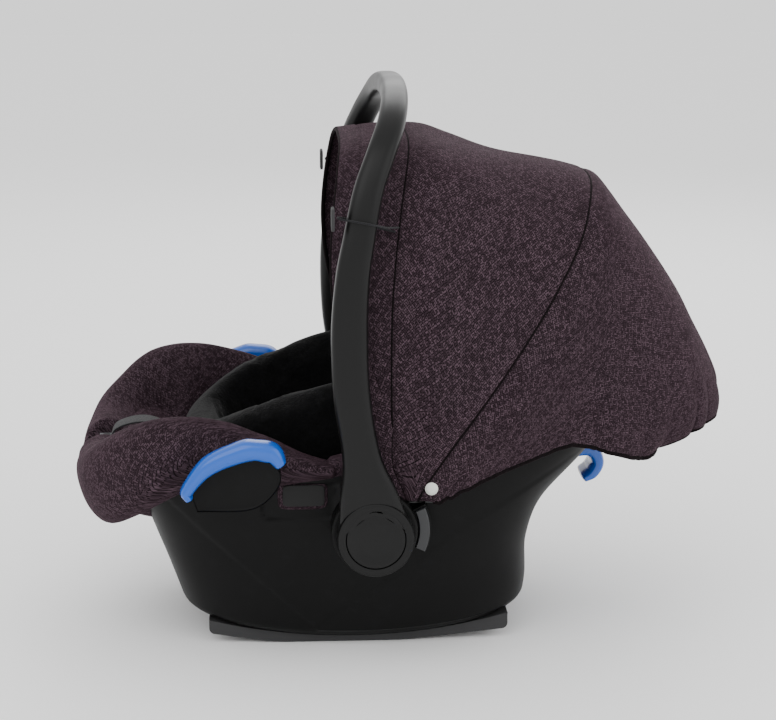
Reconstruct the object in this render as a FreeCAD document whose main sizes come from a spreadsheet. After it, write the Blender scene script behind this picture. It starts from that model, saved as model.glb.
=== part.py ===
import FreeCAD, Part
import Sketcher
import math
import os
import re
from FreeCAD import Placement, Rotation, Vector

# An infant carrier seat: a moulded bucket on rocker runners, a carrying handle that tilts about two
# hubs, a folding canopy on two bows, and the padding and harness inside.
# +X is towards the child's head, +Z is up, and -Y is the child's left. Millimetres throughout.
# "Across" is the distance from the middle plane, so left pieces are drawn at -Y and then mirrored.

# Each row is a driving dimension: its name, its value and what it sets.
DIMENSIONS = [
    ("wall", 4, "moulded wall of the shell"),
    ("fit_gap", 0.3, "gap between neighbouring pieces"),
    ("sole_z", 0, "shell plan at the floor: level"),
    ("sole_front", -215, "foot end"),
    ("sole_rear", 126, "head end"),
    ("sole_half", 126, "half width"),
    ("sole_round", 58, "corner radius"),
    ("skirt_z", 50, "shell plan above the base: level"),
    ("skirt_front", -231, "foot end"),
    ("skirt_rear", 136, "head end"),
    ("skirt_half", 141, "half width"),
    ("skirt_round", 62, "corner radius"),
    ("waist_z", 105, "shell plan at the waist: level"),
    ("waist_front", -250, "foot end"),
    ("waist_rear", 136, "head end"),
    ("waist_half", 157, "half width"),
    ("waist_round", 64, "corner radius"),
    ("ledge_z", 150, "shell plan at the ledge: level"),
    ("ledge_front", -268, "foot end"),
    ("ledge_rear", 152, "head end"),
    ("ledge_half", 170, "half width"),
    ("ledge_round", 66, "corner radius"),
    ("flare_z", 200, "shell plan at the flared lip: level"),
    ("flare_front", -302, "foot end"),
    ("flare_rear", 198, "head end"),
    ("flare_half", 174, "half width"),
    ("flare_round", 72, "corner radius"),
    ("crown_z", 330, "shell plan at the head end: level"),
    ("crown_front", -312, "foot end"),
    ("crown_rear", 306, "head end"),
    ("crown_half", 150, "half width"),
    ("crown_round", 96, "corner radius"),
    ("rocker_radius", 600, "curve of the shell's underside"),
    ("rocker_x", -48, "lowest point of that curve"),
    ("sole_lift", 6, "height of the shell's underside"),
    ("toe_x", -340, "bucket floor, foot end"),
    ("toe_z", 213, "its height"),
    ("calf_x", -180, "bucket floor below the calves"),
    ("calf_z", 116, "its height"),
    ("hip_x", -75, "bucket floor, lowest point"),
    ("hip_z", 72, "its height"),
    ("back_x", 5, "bucket floor, foot of the backrest"),
    ("back_z", 76, "its height"),
    ("lumbar_x", 110, "backrest bend"),
    ("lumbar_z", 146, "its height"),
    ("floor_wall", 9, "depth of the floor moulding"),
    ("base_half", 92, "half width of the hollow under the floor"),
    ("rim_foot_z", 186, "height of the shell's lip at the foot end"),
    ("rim_knee_x", -225, "lip beside the knees"),
    ("rim_knee_z", 212, "its height"),
    ("rim_dip_x", -95, "lowest part of the lip"),
    ("rim_dip_z", 194, "its height"),
    ("rim_hip_x", 30, "lip beside the hips"),
    ("rim_hip_z", 228, "its height"),
    ("rim_head_x", 330, "lip at the head end"),
    ("rim_head_z", 306, "its height"),
    ("runner_across", 94, "inner side of a rocker runner"),
    ("runner_width", 26, "width of a rocker runner"),
    ("runner_foot", -198, "foot end of a runner"),
    ("runner_head", 112, "head end of a runner"),
    ("flat_foot", -130, "foot end of the flat contact"),
    ("flat_head", 4, "head end of the flat contact"),
    ("runner_rise", 11, "height of a runner's ends"),
    ("screw_foot_x", -104, "foot screws of the runners"),
    ("screw_head_x", -24, "head screws of the runners"),
    ("screw_radius", 2, "screw shank radius"),
    ("screw_cap", 4, "screw head radius"),
    ("foam_depth", 10, "energy-absorbing foam"),
    ("cover_depth", 4, "lining fabric with its backing"),
    ("pad_end", 33, "padding outside the shell at the foot end"),
    ("pad_side", 11, "padding outside the shell at the sides"),
    ("pad_inside", 27, "padding inside the shell's outer face"),
    ("insert_inset", 31, "infant insert's side from the shell's face"),
    ("insert_depth", 34, "thickness of the insert's sides"),
    ("insert_lift", 26, "insert above the bucket floor"),
    ("insert_floor", 28, "thickness of the insert's floor"),
    ("strap_width", 38, "harness webbing width"),
    ("strap_depth", 2.4, "harness webbing thickness"),
    ("strap_across", 26, "inner edge of a shoulder strap"),
    ("buckle_x", -74, "harness buckle, middle"),
    ("buckle_z", 152, "its underside"),
    ("buckle_long", 62, "buckle length"),
    ("buckle_wide", 46, "buckle width"),
    ("buckle_deep", 20, "buckle depth"),
    ("bezel_x", -303, "harness adjuster bezel, middle"),
    ("bezel_z", 181, "its seat"),
    ("hub_x", -30, "handle axis"),
    ("hub_z", 141, "handle axis height"),
    ("hub_radius", 38, "handle hub radius"),
    ("hub_stand", 23, "hub's inner face beyond the shell's flared lip"),
    ("hub_depth", 25, "hub depth"),
    ("web_inset", 9, "hub's web behind its inner face"),
    ("web_depth", 3, "hub web thickness"),
    ("button_radius", 29.2, "hub button radius"),
    ("button_clear", 0.4, "radial gap round the hub button"),
    ("bolt_radius", 5, "handle bolt radius"),
    ("bolt_clear", 0.06, "running fit on the bolt"),
    ("tower_radius", 43, "lock housing radius on the shell"),
    ("lock_radius", 23, "toothed lock disc radius"),
    ("lock_teeth", 12, "notches in the lock disc"),
    ("release_inner", 45, "adapter release, inner radius"),
    ("release_outer", 55.5, "adapter release, outer radius"),
    ("release_angle", 48, "adapter release, arc in degrees"),
    ("release_clear", 4, "room behind the adapter release for its travel"),
    ("socket_long", 28, "stroller adapter socket, length"),
    ("socket_wide", 13, "stroller adapter socket, width"),
    ("socket_deep", 32, "stroller adapter socket, depth"),
    ("grip_z", 562, "height of the handle's cross bar, middle"),
    ("grip_x", -2, "cross bar along the seat"),
    ("grip_half", 11.5, "cross bar half thickness"),
    ("arm_half", 12, "handle arm half thickness"),
    ("guide_stand", 22, "belt guide plate's inner face beyond the flared lip"),
    ("guide_depth", 12, "belt guide plate thickness"),
    ("trim_depth", 24, "coloured belt guide trim thickness"),
    ("hook_half", 24, "half width of the rear belt hook"),
    ("pivot_x", 12, "canopy pivot"),
    ("pivot_z", 181, "canopy pivot height"),
    ("pivot_radius", 4, "canopy pivot pin radius"),
    ("skin", 2.5, "canopy fabric with its lining"),
    ("bow_width", 10, "canopy bow width"),
    ("bow_depth", 1.6, "canopy bow thickness"),
    ("hem_x", -75, "canopy arch beyond the front hem: place"),
    ("hem_top", 508, "top"),
    ("hem_out", 7, "its foot beyond the shell's flared lip"),
    ("hem_lean", 31, "how far its sides lean in"),
    ("hem_round", 50, "top corner radius"),
    ("front_x", 12, "canopy arch at the front bow: place"),
    ("front_top", 515, "top"),
    ("front_out", 12, "its foot beyond the shell's flared lip"),
    ("front_lean", 28, "how far its sides lean in"),
    ("front_round", 58, "top corner radius"),
    ("mid_x", 90, "canopy arch ahead of the rear bow: place"),
    ("mid_top", 497, "top"),
    ("mid_out", 12, "its foot beyond the shell's flared lip"),
    ("mid_lean", 30, "how far its sides lean in"),
    ("mid_round", 72, "top corner radius"),
    ("rise_x", 160, "canopy arch near the rear bow: place"),
    ("rise_top", 480, "top"),
    ("rise_out", 9, "its foot beyond the shell's flared lip"),
    ("rise_lean", 35, "how far its sides lean in"),
    ("rise_round", 92, "top corner radius"),
    ("rear_x", 214, "canopy arch at the rear bow: place"),
    ("rear_top", 461, "top"),
    ("rear_out", 4, "its foot beyond the shell's flared lip"),
    ("rear_lean", 42, "how far its sides lean in"),
    ("rear_round", 104, "top corner radius"),
    ("fall_x", 262, "canopy arch behind the rear bow: place"),
    ("fall_top", 396, "top"),
    ("fall_out", -6, "its foot beyond the shell's flared lip"),
    ("fall_lean", 46, "how far its sides lean in"),
    ("fall_round", 98, "top corner radius"),
    ("nape_x", 305, "canopy arch over the head end: place"),
    ("nape_top", 320, "top"),
    ("nape_out", -24, "its foot beyond the shell's flared lip"),
    ("nape_lean", 50, "how far its sides lean in"),
    ("nape_round", 80, "top corner radius"),
    ("tail_x", 335, "canopy arch at the gathered tail: place"),
    ("tail_top", 264, "top"),
    ("tail_out", -66, "its foot beyond the shell's flared lip"),
    ("tail_lean", 38, "how far its sides lean in"),
    ("tail_round", 38, "top corner radius"),
    ("canopy_foot", 150, "level where the canopy arches start"),
]

# Each row is a dimension worked out from others: its name, its formula and what it is.
DERIVED = [
    ("hub_inner", "flare_half + hub_stand", "inner face of a hub, across"),
    ("hub_outer", "hub_inner + hub_depth", "outer face of a hub, across"),
    ("hub_web", "hub_inner + web_inset", "inner face of the hub's web, across"),
    ("arm_across", "hub_inner + hub_depth / 2", "handle arm at the hub, across"),
    ("guide_inner", "flare_half + guide_stand", "belt guide plate, inner face across"),
    ("trim_inner", "guide_inner + 2", "coloured trim, inner face across"),
    ("insert_in", "insert_inset + insert_depth", "insert's hollow from the shell's face"),
    ("seat_lift", "insert_lift + insert_floor", "insert's surface above the bucket floor"),
]

SHELL_PLANS = ("sole", "skirt", "waist", "ledge", "flare", "crown")
CANOPY_ARCHES = ("hem", "front", "mid", "rise", "rear", "fall", "nape", "tail")
REACH = 400  # half length of the blocks that trim other shapes
TUBE_RADIUS = 1  # elastic loop

doc = FreeCAD.newDocument("InfantCarSeat")
sheet = doc.addObject("Spreadsheet::Sheet", "Dims")
for row, (alias, value, note) in enumerate(DIMENSIONS, start=1):
    sheet.set(f"A{row}", alias)
    sheet.set(f"B{row}", str(value))
    sheet.setAlias(f"B{row}", alias)
    sheet.set(f"C{row}", note)
doc.recompute()

for arch_name in CANOPY_ARCHES:
    DERIVED.append((arch_name + "_low", f"flare_half + {arch_name}_out", "half width at its foot"))
    DERIVED.append((arch_name + "_high", f"{arch_name}_low - {arch_name}_lean", "and at its top"))

ALIASES = re.compile(r"\b(" + "|".join(alias for alias, _, _ in DIMENSIONS) + r")\b")
FORMULAS = {name: f"({formula})" for name, formula, _ in DERIVED}
WORKED_OUT = re.compile(r"\b(" + "|".join(FORMULAS) + r")\b")
PLANES = {
    "side": (Rotation(Vector(1, 0, 0), 90), "y", "-"),  # drawn in X and Z, faces -Y
    "plan": (Rotation(), "z", ""),  # drawn in X and Y, faces +Z
    "front": (Rotation(Vector(1, 1, 1), 120), "x", ""),  # drawn in Y and Z, faces +X
}
NODES = []


def bound(text):
    """An expression with formulas written out and each dimension's name pointing at the sheet."""
    text = str(text)
    while WORKED_OUT.search(text):
        text = WORKED_OUT.sub(lambda found: FORMULAS[found.group()], text)
    return ALIASES.sub(r"Dims.\1", text)


def size(text):
    """The present value of an expression of dimensions."""
    return float(sheet.evalExpression(bound(text)))


def bind(item, **places):
    """Bind properties to expressions; a double underscore in a name stands for a dot."""
    for name, text in places.items():
        item.setExpression(name.replace("__", "."), bound(text))
    return item


def corner(point, before, after, radius):
    """Where a rounded corner's arc starts and ends, its centre, and which way it turns."""
    back = (before - point).normalize()
    ahead = (after - point).normalize()
    turn = (point - before).cross(after - point).z
    if not radius:
        return point, point, None, turn
    angle = back.getAngle(ahead)
    reach = radius / math.tan(angle / 2)
    centre = point + (back + ahead).normalize() * (radius / math.sin(angle / 2))
    return point + back * reach, point + ahead * reach, centre, turn


def draw(sketch, corners):
    """A closed outline of lines and corner arcs, each corner and radius bound to its expressions."""
    points = [Vector(size(x), size(y), 0) for x, y, _ in corners]
    radii = [size(radius) for _, _, radius in corners]
    count = len(corners)
    ends = [
        corner(points[i], points[i - 1], points[(i + 1) % count], radii[i]) for i in range(count)
    ]
    lines = [
        sketch.addGeometry(Part.LineSegment(ends[i][1], ends[(i + 1) % count][0]))
        for i in range(count)
    ]
    for i, (x, y, radius) in enumerate(corners):
        first, last, centre, turn = ends[i]
        arriving, leaving = lines[i - 1], lines[i]
        if centre is None:
            sketch.addConstraint(Sketcher.Constraint("Coincident", arriving, 2, leaving, 1))
            held = (leaving, 1)
        else:
            start, stop = (first, last) if turn > 0 else (last, first)
            low = math.atan2(start.y - centre.y, start.x - centre.x)
            high = math.atan2(stop.y - centre.y, stop.x - centre.x)
            if high <= low:
                high += 2 * math.pi
            circle = Part.Circle(centre, Vector(0, 0, 1), radii[i])
            arc = sketch.addGeometry(Part.ArcOfCircle(circle, low, high))
            near, far = (1, 2) if turn > 0 else (2, 1)
            sketch.addConstraint(Sketcher.Constraint("Tangent", arriving, 2, arc, near))
            sketch.addConstraint(Sketcher.Constraint("Tangent", leaving, 1, arc, far))
            index = sketch.addConstraint(Sketcher.Constraint("Radius", arc, radii[i]))
            sketch.renameConstraint(index, f"round{i}")
            sketch.setExpression(f"Constraints.round{i}", bound(radius))
            mark = sketch.addGeometry(Part.Point(points[i]), True)
            sketch.addConstraint(Sketcher.Constraint("PointOnObject", mark, 1, arriving))
            sketch.addConstraint(Sketcher.Constraint("PointOnObject", mark, 1, leaving))
            held = (mark, 1)
        for kind, name, text, at in (
            ("DistanceX", f"x{i}", x, points[i].x),
            ("DistanceY", f"y{i}", y, points[i].y),
        ):
            index = sketch.addConstraint(Sketcher.Constraint(kind, -1, 1, *held, at))
            sketch.renameConstraint(index, name)
            sketch.setExpression(f"Constraints.{name}", bound(text))
    return sketch


def outline(name, corners, plane, offset="0"):
    """A sketch in one of the three planes, that far from the origin along the plane's own way."""
    sketch = doc.addObject("Sketcher::SketchObject", name + "_outline")
    rotation, axis, sign = PLANES[plane]
    sketch.Placement = Placement(Vector(), rotation)
    draw(sketch, corners)
    bind(sketch, **{f"Placement__Base__{axis}": f"{sign}({offset})"})
    return sketch


def plate(name, corners, plane="side", start="0", depth="1"):
    """An outline given a depth. In the side plane start and depth are measured across."""
    item = doc.addObject("Part::Extrusion", name)
    item.Base = outline(name, corners, plane, start)
    item.DirMode = "Normal"
    item.Solid = True
    return bind(item, LengthFwd=depth)


def slab(name, corners, half=REACH):
    """A side outline that spans both sides of the middle plane."""
    return plate(name, corners, "side", f"-({half})", f"2 * ({half})")


def loft(name, sections):
    """A solid with straight sides between closed outlines."""
    item = doc.addObject("Part::Loft", name)
    item.Sections = sections
    item.Solid = True
    item.Ruled = True
    return item


def disc(name, radius, start, depth, x, z):
    """A cylinder that lies across the seat."""
    item = doc.addObject("Part::Cylinder", name)
    item.Placement = Placement(Vector(), PLANES["side"][0])
    bind(item, Radius=radius, Height=depth, Placement__Base__y=f"-({start})")
    return bind(item, Placement__Base__x=x, Placement__Base__z=z)


def turned(name, profile, x, z, angle=None):
    """A PartDesign body turned about a line across the seat, from points of radius and across."""
    body = doc.addObject("PartDesign::Body", name)
    sketch = body.newObject("Sketcher::SketchObject", name + "_profile")
    floor_plane = next(f for f in body.Origin.OriginFeatures if f.Role == "XY_Plane")
    sketch.AttachmentSupport = [(floor_plane, "")]
    sketch.MapMode = "FlatFace"
    draw(sketch, [(radius, f"-({across})", curve) for radius, across, curve in profile])
    spin = body.newObject("PartDesign::Revolution", name + "_turn")
    spin.Profile = sketch
    spin.ReferenceAxis = (sketch, ["V_Axis"])
    spin.Angle = 360
    if angle:
        spin.Midplane = True
        bind(spin, Angle=angle)
    return bind(body, Placement__Base__x=x, Placement__Base__z=z)


def cut(name, base, *tools):
    """The base without the tools."""
    item = base
    for number, tool in enumerate(tools):
        step = doc.addObject("Part::Cut", name if tool is tools[-1] else f"{name}_cut{number}")
        step.Base = item
        step.Tool = tool
        item = step
    return item


def shared(name, first, second):
    """What two shapes share."""
    item = doc.addObject("Part::Common", name)
    item.Base = first
    item.Tool = second
    return item


def joined(name, *pieces):
    """Pieces moulded as one."""
    item = doc.addObject("Part::MultiFuse", name)
    item.Shapes = list(pieces)
    return item


def mirrored(name, source):
    """The same piece on the other side of the seat."""
    item = doc.addObject("Part::Mirroring", name)
    item.Source = source
    item.Normal = Vector(0, 1, 0)
    return item


def node(label, item):
    """Name a finished piece; it is written to the file of that name."""
    item.Label = label
    NODES.append(item)
    return item


def pair(label, left):
    """A finished piece and its mirror image on the right."""
    node(label + "_left", left)
    node(label + "_right", mirrored(label + "_mirror", left))


def box(name, low, high):
    """A block between two corners of three expressions each."""
    item = doc.addObject("Part::Box", name)
    bind(item, Length=f"{high[0]} - ({low[0]})", Width=f"{high[1]} - ({low[1]})")
    bind(item, Height=f"{high[2]} - ({low[2]})", Placement__Base__x=low[0])
    return bind(item, Placement__Base__y=low[1], Placement__Base__z=low[2])


# --- shell ---------------------------------------------------------------------------------------


def shell_plan(name, plan, end, side):
    """The shell's plan at one level, grown by so much at its ends and at its sides."""
    front = f"{plan}_front - ({end})"
    rear = f"{plan}_rear + ({end})"
    half = f"{plan}_half + ({side})"
    curve = f"max(10; {plan}_round + ({side}))"
    corners = [
        (front, f"-({half})", curve),
        (rear, f"-({half})", curve),
        (rear, half, curve),
        (front, half, curve),
    ]
    return outline(f"{name}_{plan}", corners, "plan", f"{plan}_z")


def shell_form(name, end, side):
    """The shell's outer form, grown or shrunk."""
    return loft(name, [shell_plan(name, plan, end, side) for plan in SHELL_PLANS])


def hollow(name, inset, lift):
    """The space that far inside the shell's outer face and that far above the bucket's floor."""
    floor = [
        ("toe_x", f"toe_z + 1.15 * ({lift})", "0"),
        ("calf_x", f"calf_z + 1.15 * ({lift})", "40"),
        ("hip_x", f"hip_z + {lift}", "50"),
        ("back_x", f"back_z + {lift}", "60"),
        ("lumbar_x", f"lumbar_z + 1.2 * ({lift})", "60"),
        ("lumbar_x + 290", f"lumbar_z + 195 + 1.2 * ({lift})", "0"),
        ("lumbar_x + 290", "2 * rim_head_z", "0"),
        ("toe_x", "2 * rim_head_z", "0"),
    ]
    form = shell_form(name + "_form", f"-({inset})", f"-({inset})")
    return shared(name, form, slab(name + "_floor", floor))


def bucket(name, depth):
    """The hollow of the bucket, that much smaller all round than the moulding's inner face."""
    return hollow(name, f"wall + {depth}", depth)


def lip(name, above, gap):
    """A block above or below the line of the shell's lip, lifted by a gap."""
    line = [
        (f"-{REACH}", f"rim_foot_z + {gap}", "0"),
        ("toe_x + 30", f"rim_foot_z + {gap}", "30"),
        ("rim_knee_x", f"rim_knee_z + {gap}", "60"),
        ("rim_dip_x", f"rim_dip_z + {gap}", "60"),
        ("rim_hip_x", f"rim_hip_z + {gap}", "80"),
        ("rim_head_x", f"rim_head_z + {gap}", "0"),
        (REACH, f"rim_head_z + {gap}", "0"),
    ]
    if above:
        return slab(name, line + [(REACH, 2 * REACH, "0"), (f"-{REACH}", 2 * REACH, "0")])
    return slab(name, [(f"-{REACH}", "-50", "0"), (REACH, "-50", "0")] + line[::-1])


def rocker(name):
    """The round underside of the shell: everything inside one large cylinder."""
    return disc(name, "rocker_radius", -REACH, 2 * REACH, "rocker_x", "rocker_radius + sole_lift")


shell_outer = shared("shell_outer", shell_form("shell_form", "0", "0"), rocker("rocker_face"))
base_hollow = [
    ("sole_front + 8", "-5", "0"),
    ("sole_rear - 8", "-5", "0"),
    ("waist_rear - 8", "60", "20"),
    ("waist_rear - 8", "100", "0"),
    ("lumbar_x + 2", "lumbar_z - floor_wall", "10"),
    ("back_x", "back_z - floor_wall", "50"),
    ("hip_x", "hip_z - floor_wall", "40"),
    ("calf_x", "calf_z - floor_wall", "30"),
    ("skirt_front + 9", "calf_z + 10", "8"),
    ("skirt_front + 9", "60", "30"),
]
scoop_block = [
    ("-141", "184", "0"),
    ("-141", "165", "14"),
    ("-105", "148", "40"),
    ("-67", "156", "14"),
    ("-67", "186", "0"),
    ("-67", "230", "0"),
    ("-141", "230", "0"),
]
scoops = cut("scoops", slab("scoop_block", scoop_block), shell_form("scoop_core", "60", "-2.4"))


def upright(name, radius, low, high, x, y):
    """A standing cylinder."""
    item = doc.addObject("Part::Cylinder", name)
    bind(item, Radius=radius, Height=f"{high} - ({low})", Placement__Base__x=x)
    return bind(item, Placement__Base__y=y, Placement__Base__z=low)


RUNNER_MIDDLE = "(runner_across + runner_width / 2)"
SCREW_PLACES = [
    (x, f"{side} * {RUNNER_MIDDLE}") for x in ("screw_foot_x", "screw_head_x") for side in (-1, 1)
]


def screw_row(name, radius, low, high):
    """One upright cylinder at each of the runner screws."""
    made = [
        upright(f"{name}{i}", radius, low, high, x, y) for i, (x, y) in enumerate(SCREW_PLACES)
    ]
    return joined(name, *made)


node(
    "shell",
    cut(
        "shell_body",
        shell_outer,
        bucket("bucket_face", "0"),
        slab("base_hollow", base_hollow, "base_half"),
        lip("lip_cut", True, "0"),
        scoops,
        screw_row("pilot_holes", "screw_radius + 0.1", "-5", "30"),
    ),
)

# --- rocker runners ------------------------------------------------------------------------------

runner_side = [
    ("runner_foot", "runner_rise", "6"),
    ("flat_foot", "0", "300"),
    ("flat_head", "0", "300"),
    ("runner_head", "runner_rise", "6"),
    ("runner_head", "50", "0"),
    ("runner_foot", "50", "0"),
]
runner_blank = plate("runner_blank", runner_side, "side", "runner_across", "runner_width")
runner_left = cut(
    "runner_body",
    runner_blank,
    rocker("runner_face"),
    screw_row("screw_sinks", "screw_cap + 0.4", "-5", "3.2"),
    screw_row("screw_ways", "screw_radius + 0.2", "-5", "30"),
)
pair("runner", runner_left)
screw_shanks = screw_row("screw_shanks", "screw_radius", "1", "24")
screw_caps = screw_row("screw_caps", "screw_cap", "0.8", "3")
node("runner_screws", joined("screw_set", screw_shanks, screw_caps))

# --- foam liner, lining and padded rim -----------------------------------------------------------

foam_out = "fit_gap"
foam_in = "(fit_gap + foam_depth)"
lining_out = "(2 * fit_gap + foam_depth)"
lining_in = "(2 * fit_gap + foam_depth + cover_depth)"
foam = cut(
    "foam_body", bucket("foam_out", foam_out), bucket("foam_in", foam_in), lip("foam_lip", True, 0)
)
node("foam_liner", foam)
node(
    "seat_cover",
    cut(
        "lining_body",
        bucket("lining_out", lining_out),
        bucket("lining_in", lining_in),
        lip("lining_lip", True, 0),
    ),
)

foot_pad_side = [
    ("-345", "124", "0"),
    ("-300", "131", "20"),
    ("-262", "152", "20"),
    ("-222", "187", "10"),
    ("-118", "189", "0"),
    ("-73", "194", "0"),
    ("-73", "205", "8"),
    ("-94", "213", "20"),
    ("-142", "234", "30"),
    ("-214", "254", "25"),
    ("-262", "250", "25"),
    ("-300", "222", "20"),
    ("-322", "206", "10"),
    ("-345", "200", "0"),
]
pad_bulk = shared(
    "pad_bulk", shell_form("pad_form", "pad_end", "pad_side"), slab("pad_side_block", foot_pad_side)
)
pad_core_form = shell_form("pad_core_form", "fit_gap", "fit_gap")
pad_core = shared("pad_core", pad_core_form, lip("pad_lip", False, "fit_gap"))
pad_well = shell_form("pad_well", "-pad_inside", "-pad_inside")
bezel_notch = box("bezel_notch", ("bezel_x - 14", "-27", "bezel_z - 0.3"), ("-262", "27", "300"))
node("foot_rim_pad", cut("foot_pad_body", pad_bulk, pad_core, pad_well, bezel_notch))

head_pad_side = [
    ("-71", "190", "0"),
    ("rim_hip_x", "rim_hip_z - 10", "0"),
    ("rim_head_x", "rim_head_z - 10", "0"),
    ("rim_head_x", "rim_head_z + 12", "0"),
    ("rim_hip_x", "rim_hip_z + 17", "60"),
    ("-71", "207", "0"),
]
head_bulk = shared(
    "head_bulk", shell_form("head_form", "-0.6", "-0.6"), slab("head_side_block", head_pad_side)
)
node("head_rim_pad", cut("head_pad_body", head_bulk, pad_core, pad_well))

tab_side = [("-126", "168", "5"), ("-78", "156", "5"), ("-74", "187", "5"), ("-124", "188", "5")]
tab_skin = cut("tab_skin", shell_form("tab_outer", "2", "0.2"), shell_form("tab_inner", "1", "-2"))
tab_block = plate("tab_block", tab_side, "side", "100", "120")
pair("cover_tab", shared("tab_body", tab_block, tab_skin))
patch_side = [("-121", "172", "3"), ("-81", "161", "3"), ("-78", "184", "3"), ("-120", "185", "3")]
patch_outer = shell_form("patch_outer", "2", "1.6")
patch_skin = cut("patch_skin", patch_outer, shell_form("patch_inner", "1", "0.3"))
patch_block = plate("patch_block", patch_side, "side", "100", "120")
pair("hook_patch", shared("patch_body", patch_block, patch_skin))

# --- infant insert, head pillow and harness ------------------------------------------------------



def strip(points, depth):
    """A band of even depth above a row of points, closed along its underside."""
    upper = [(x, f"{z} + {depth}", curve) for x, z, curve in points]
    return points + upper[::-1]


insert_side = [
    ("-224", "100", "0"),
    (REACH, "100", "0"),
    (REACH, "300", "0"),
    ("170", "296", "40"),
    ("-62", "284", "40"),
    ("-160", "247", "60"),
    ("-224", "206", "20"),
]
insert_blank = shared(
    "insert_blank",
    hollow("insert_face", "insert_inset", "insert_lift"),
    slab("insert_side_block", insert_side),
)
crotch_line = [
    ("buckle_x - buckle_long / 2 - 34", "hip_z + seat_lift + 4", "0"),
    ("buckle_x - buckle_long / 2 - 22", "buckle_z + 2", "8"),
    ("buckle_x - buckle_long / 2 - 0.3", "buckle_z + 6", "0"),
]
crotch_way = plate(
    "crotch_way",
    strip([(x, f"{z} - 2.4", curve) for x, z, curve in crotch_line], "strap_depth + 5.8"),
    "side",
    "-(strap_width / 2 + 1)",
    "strap_width + 2",
)
insert_hollow = hollow("insert_hollow", "insert_in", "seat_lift")
node("infant_insert", cut("insert_body", insert_blank, insert_hollow, crotch_way))

PILLOW_X = "crown_rear - insert_in - 70"
PILLOW_Z = "rim_head_z - 30"
pillow = doc.addObject("Part::Ellipsoid", "pillow_body")
bind(pillow, Radius1="16", Radius2="46", Radius3="64")
pillow.Placement = Placement(Vector(), Rotation(Vector(0, 1, 0), -40))
bind(pillow, Placement__Base__x=PILLOW_X, Placement__Base__z=PILLOW_Z)
node("head_pillow", pillow)

strap_line = [
    ("-46", "buckle_z + 6", "0"),
    ("-20", "back_z + 70", "20"),
    ("back_x + 12", "back_z + seat_lift + 12", "30"),
    ("lumbar_x - 6", "lumbar_z + 1.2 * seat_lift + 6", "0"),
]
strap = plate("strap_body", strip(strap_line, "strap_depth"), "side", "strap_across", "strap_width")
pair("shoulder_strap", strap)
sleeve_line = [
    ("back_x + 26", "back_z + seat_lift + 22", "0"),
    ("lumbar_x - 20", "lumbar_z + 1.2 * seat_lift - 8", "0"),
]
sleeve_band = strip(sleeve_line, "13")
sleeve = plate("sleeve_blank", sleeve_band, "side", "strap_across - 5", "strap_width + 10")
strap_way = plate(
    "strap_way",
    strip([(x, f"{z} - 0.4", curve) for x, z, curve in strap_line], "strap_depth + 0.8"),
    "side",
    "strap_across - 0.4",
    "strap_width + 0.8",
)
pair("shoulder_pad", cut("sleeve_body", sleeve, strap_way))

buckle_blank = box(
    "buckle_blank",
    ("buckle_x - buckle_long / 2", "-buckle_wide / 2", "buckle_z"),
    ("buckle_x + buckle_long / 2", "buckle_wide / 2", "buckle_z + buckle_deep"),
)
button_well = box(
    "button_well",
    ("buckle_x - 15", "-13", "buckle_z + 9"),
    ("buckle_x + 15", "13", "buckle_z + buckle_deep + 1"),
)
tongue_ways = [
    box(
        f"tongue_way{number}",
        ("buckle_x + buckle_long / 2 - 14", low, "buckle_z + 5.4"),
        ("buckle_x + buckle_long / 2 + 1", high, "buckle_z + 9.6"),
    )
    for number, (low, high) in enumerate((("-21", "-4"), ("4", "21")))
]
node("buckle_housing", cut("buckle_body", buckle_blank, button_well, *tongue_ways))
node(
    "buckle_button",
    box(
        "buckle_button_body",
        ("buckle_x - 14.5", "-12.5", "buckle_z + 13"),
        ("buckle_x + 14.5", "12.5", "buckle_z + buckle_deep + 1.5"),
    ),
)
tongue = box(
    "tongue_body",
    ("buckle_x + buckle_long / 2 - 12", "-20.4", "buckle_z + 6"),
    ("buckle_x + buckle_long / 2 + 13", "-4.6", "buckle_z + 9"),
)
tongue_bar = box(
    "tongue_bar",
    ("buckle_x + buckle_long / 2 + 3", "-25.4", "buckle_z + 6"),
    ("buckle_x + buckle_long / 2 + 13", "-4.6", "buckle_z + 9"),
)
pair("buckle_tongue", joined("tongue_set", tongue, tongue_bar))
crotch_band = strip(crotch_line, "strap_depth + 1")
crotch = plate("crotch_body", crotch_band, "side", "-strap_width / 2", "strap_width")
node("crotch_strap", crotch)

bezel = cut(
    "bezel_body",
    box(
        "bezel_blank",
        ("bezel_x - 12", "-23", "bezel_z"),
        ("bezel_x + 7.6", "23", "bezel_z + 8"),
    ),
    box(
        "bezel_window",
        ("bezel_x - 8", "-18", "bezel_z - 1"),
        ("bezel_x + 5.4", "18", "bezel_z + 9"),
    ),
)
node("adjuster_frame", bezel)
node(
    "adjuster_button",
    box(
        "adjuster_button_body",
        ("bezel_x - 7.5", "-14", "bezel_z + 3.6"),
        ("bezel_x - 0.5", "14", "bezel_z + 10"),
    ),
)
tail_upper = [
    ("bezel_x + 0.2", "bezel_z + 3", "0"),
    ("bezel_x + 8", "bezel_z + 22", "10"),
    ("bezel_x + 38", "bezel_z + 29", "20"),
    ("bezel_x + 66", "bezel_z + 16", "20"),
    ("bezel_x + 78", "bezel_z - 12", "0"),
]
tail_lower = [
    ("bezel_x + 80.4", "bezel_z - 13", "0"),
    ("bezel_x + 67.8", "bezel_z + 14.2", "20"),
    ("bezel_x + 38.6", "bezel_z + 26.4", "20"),
    ("bezel_x + 9.6", "bezel_z + 20.2", "10"),
    ("bezel_x + 2.6", "bezel_z + 3", "0"),
]
TAIL_WIDTH = 30
tail = plate("tail_body", tail_lower[::-1] + tail_upper[::-1], "side", -TAIL_WIDTH / 2, TAIL_WIDTH)
node("adjuster_strap", tail)

# --- lock housing, lock disc, handle bolt and adapter release ------------------------------------

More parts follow.
